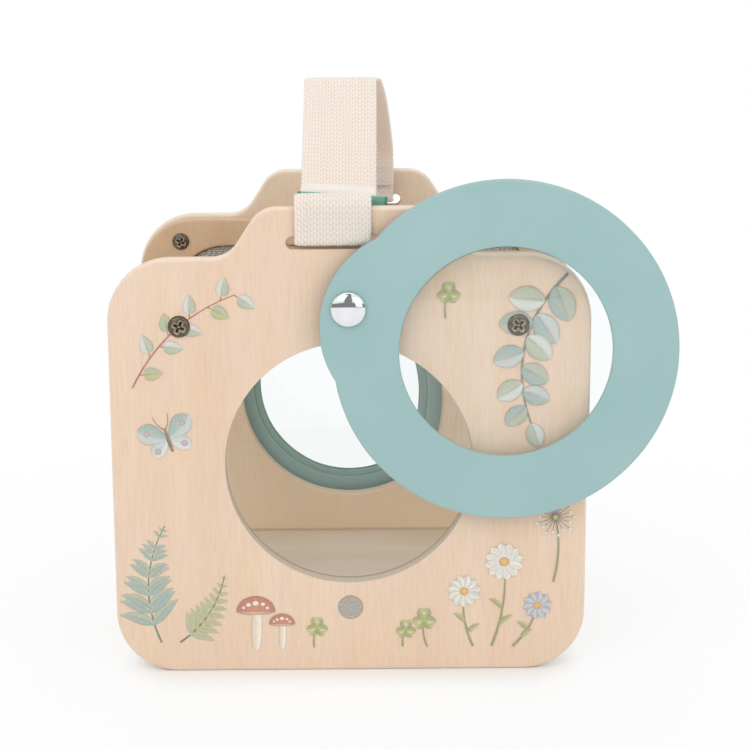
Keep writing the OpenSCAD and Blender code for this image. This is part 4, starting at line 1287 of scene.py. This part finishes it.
# Camera, light and floor

CAMERA_PLACE = Vector((0.7 * MM, -550.1 * MM, 234.2 * MM))
CAMERA_PITCH = np.radians(10.77)
CAMERA_ROLL = np.radians(0.45)
CAMERA_LENS = 84.8
CAMERA_SENSOR = 36
CAMERA_SHIFT_X = 0.033
CAMERA_SHIFT_Y = -0.125
CAMERA_CLIP = 10 * MM


level = Vector((0, np.sin(CAMERA_PITCH), np.cos(CAMERA_PITCH)))
ahead = Vector((0, np.cos(CAMERA_PITCH), -np.sin(CAMERA_PITCH)))
across = Vector((1, 0, 0))
right = np.cos(CAMERA_ROLL) * across - np.sin(CAMERA_ROLL) * level
up = np.sin(CAMERA_ROLL) * across + np.cos(CAMERA_ROLL) * level
camera_data = bpy.data.cameras.new("photo_camera")
camera_data.lens = CAMERA_LENS
camera_data.sensor_width = CAMERA_SENSOR
camera_data.shift_x = CAMERA_SHIFT_X
camera_data.shift_y = CAMERA_SHIFT_Y
camera_data.clip_start = CAMERA_CLIP
camera = show("photo_camera", camera_data)
camera.matrix_world = Matrix.Translation(CAMERA_PLACE) @ Matrix((right, up, -ahead)).transposed().to_4x4()
bpy.context.scene.camera = camera

LIGHT_AIM = Vector((0, 0.04, 0.08))
for name, place, size, power in (("key_softbox", (-0.55, -0.9, 1.1), 0.9, 4.4),
                                 ("fill_softbox", (0.8, -0.95, 0.55), 0.9, 2.3),
                                 ("top_softbox", (0.0, 0.3, 1.3), 1.0, 2.6)):
    lamp = bpy.data.lights.new(name, "AREA")
    lamp.size = size
    lamp.energy = power
    softbox = show(name, lamp)
    softbox.location = place
    softbox.rotation_euler = (LIGHT_AIM - Vector(place)).to_track_quat("-Z", "Y").to_euler()

WORLD_LIGHT = 0.72
ROOM_DARK = 0.75
WALL_TOP = (0.26, 0.2)
STAND_HALF = (0.24, 0.18)
STAND_BEFORE = (-0.1, -0.3)
world = bpy.data.worlds.new("studio")
bpy.context.scene.world = world
world.use_nodes = True
sky = Nodes(world.node_tree)


def mirrored_room():
    """Share of dark room that bright metal mirrors: a low wall all round and the camera's stand before the box, from
    the ray's direction."""
    x, y, z = sky.axes(sky.node("ShaderNodeTexCoord").outputs["Generated"])
    wall = sky.ramp(z, *WALL_TOP)
    stand = sky.math("MULTIPLY", sky.ramp(sky.math("ABSOLUTE", x), *STAND_HALF), sky.ramp(y, *STAND_BEFORE))
    glossy = sky.node("ShaderNodeLightPath").outputs["Is Glossy Ray"]
    return sky.math("MULTIPLY", sky.math("MAXIMUM", wall, stand), glossy)


strength = sky.ramp(sky.seen_directly(), 0.0, 1.0, WORLD_LIGHT, 1.0)
dimmed = sky.math("MULTIPLY", mirrored_room(), ROOM_DARK)
backdrop = sky.tree.nodes["Background"].inputs
sky.put(backdrop["Color"], (1, 1, 1, 1))
sky.put(backdrop["Strength"], sky.math("SUBTRACT", strength, dimmed))

FLOOR_HALF = 4.0
FLOOR_NEAR = 0.1
FLOOR_FAR = 0.3
NEAR_WHITE = 0.78
FOOT = ((-60 * MM, 60 * MM), (FRONT_Y[0], REAR_Y[1]))
SHADE_REACH = 16 * MM


def floor_finish():
    """Matt white, under plain white light for the rays that see the studio: all of it far off, a part of it near the
    box and none of it under the box's foot, with a fade over the shade's reach about the foot."""
    finish = Finish("studio_floor")
    beyond = []
    for place, (low, high) in zip(finish.axes(finish.object), FOOT):
        off_middle = finish.math("ABSOLUTE", finish.math("SUBTRACT", place, (low + high) / 2))
        beyond.append(finish.math("MAXIMUM", finish.math("SUBTRACT", off_middle, (high - low) / 2), 0.0))
    clear = finish.ramp(finish.math("ADD", *beyond), 0.0, SHADE_REACH)
    distance = finish.node("ShaderNodeVectorMath", {0: finish.object}, operation="LENGTH").outputs["Value"]
    white = finish.math("MULTIPLY", clear, finish.ramp(distance, FLOOR_NEAR, FLOOR_FAR, NEAR_WHITE, 1.0))
    finish.set(Base_Color=paint(250, 250, 250), Roughness=0.9, Specular_IOR_Level=0.1)
    blend = finish.node("ShaderNodeMixShader", {0: finish.math("MULTIPLY", finish.seen_directly(), white),
                                                1: finish.shader.outputs[0],
                                                2: finish.node("ShaderNodeEmission").outputs[0]})
    finish.put(finish.tree.nodes["Material Output"].inputs["Surface"], blend.outputs[0])
    return finish.material


floor_mesh = bpy.data.meshes.new("studio_floor")
floor_mesh.from_pydata([(x * FLOOR_HALF, y * FLOOR_HALF, 0) for x, y in ((-1, -1), (1, -1), (1, 1), (-1, 1))], [],
                       [(0, 1, 2, 3)])
floor_mesh.materials.append(floor_finish())
studio_floor = show("studio_floor", floor_mesh)

bpy.context.scene.view_settings.view_transform = "Standard"
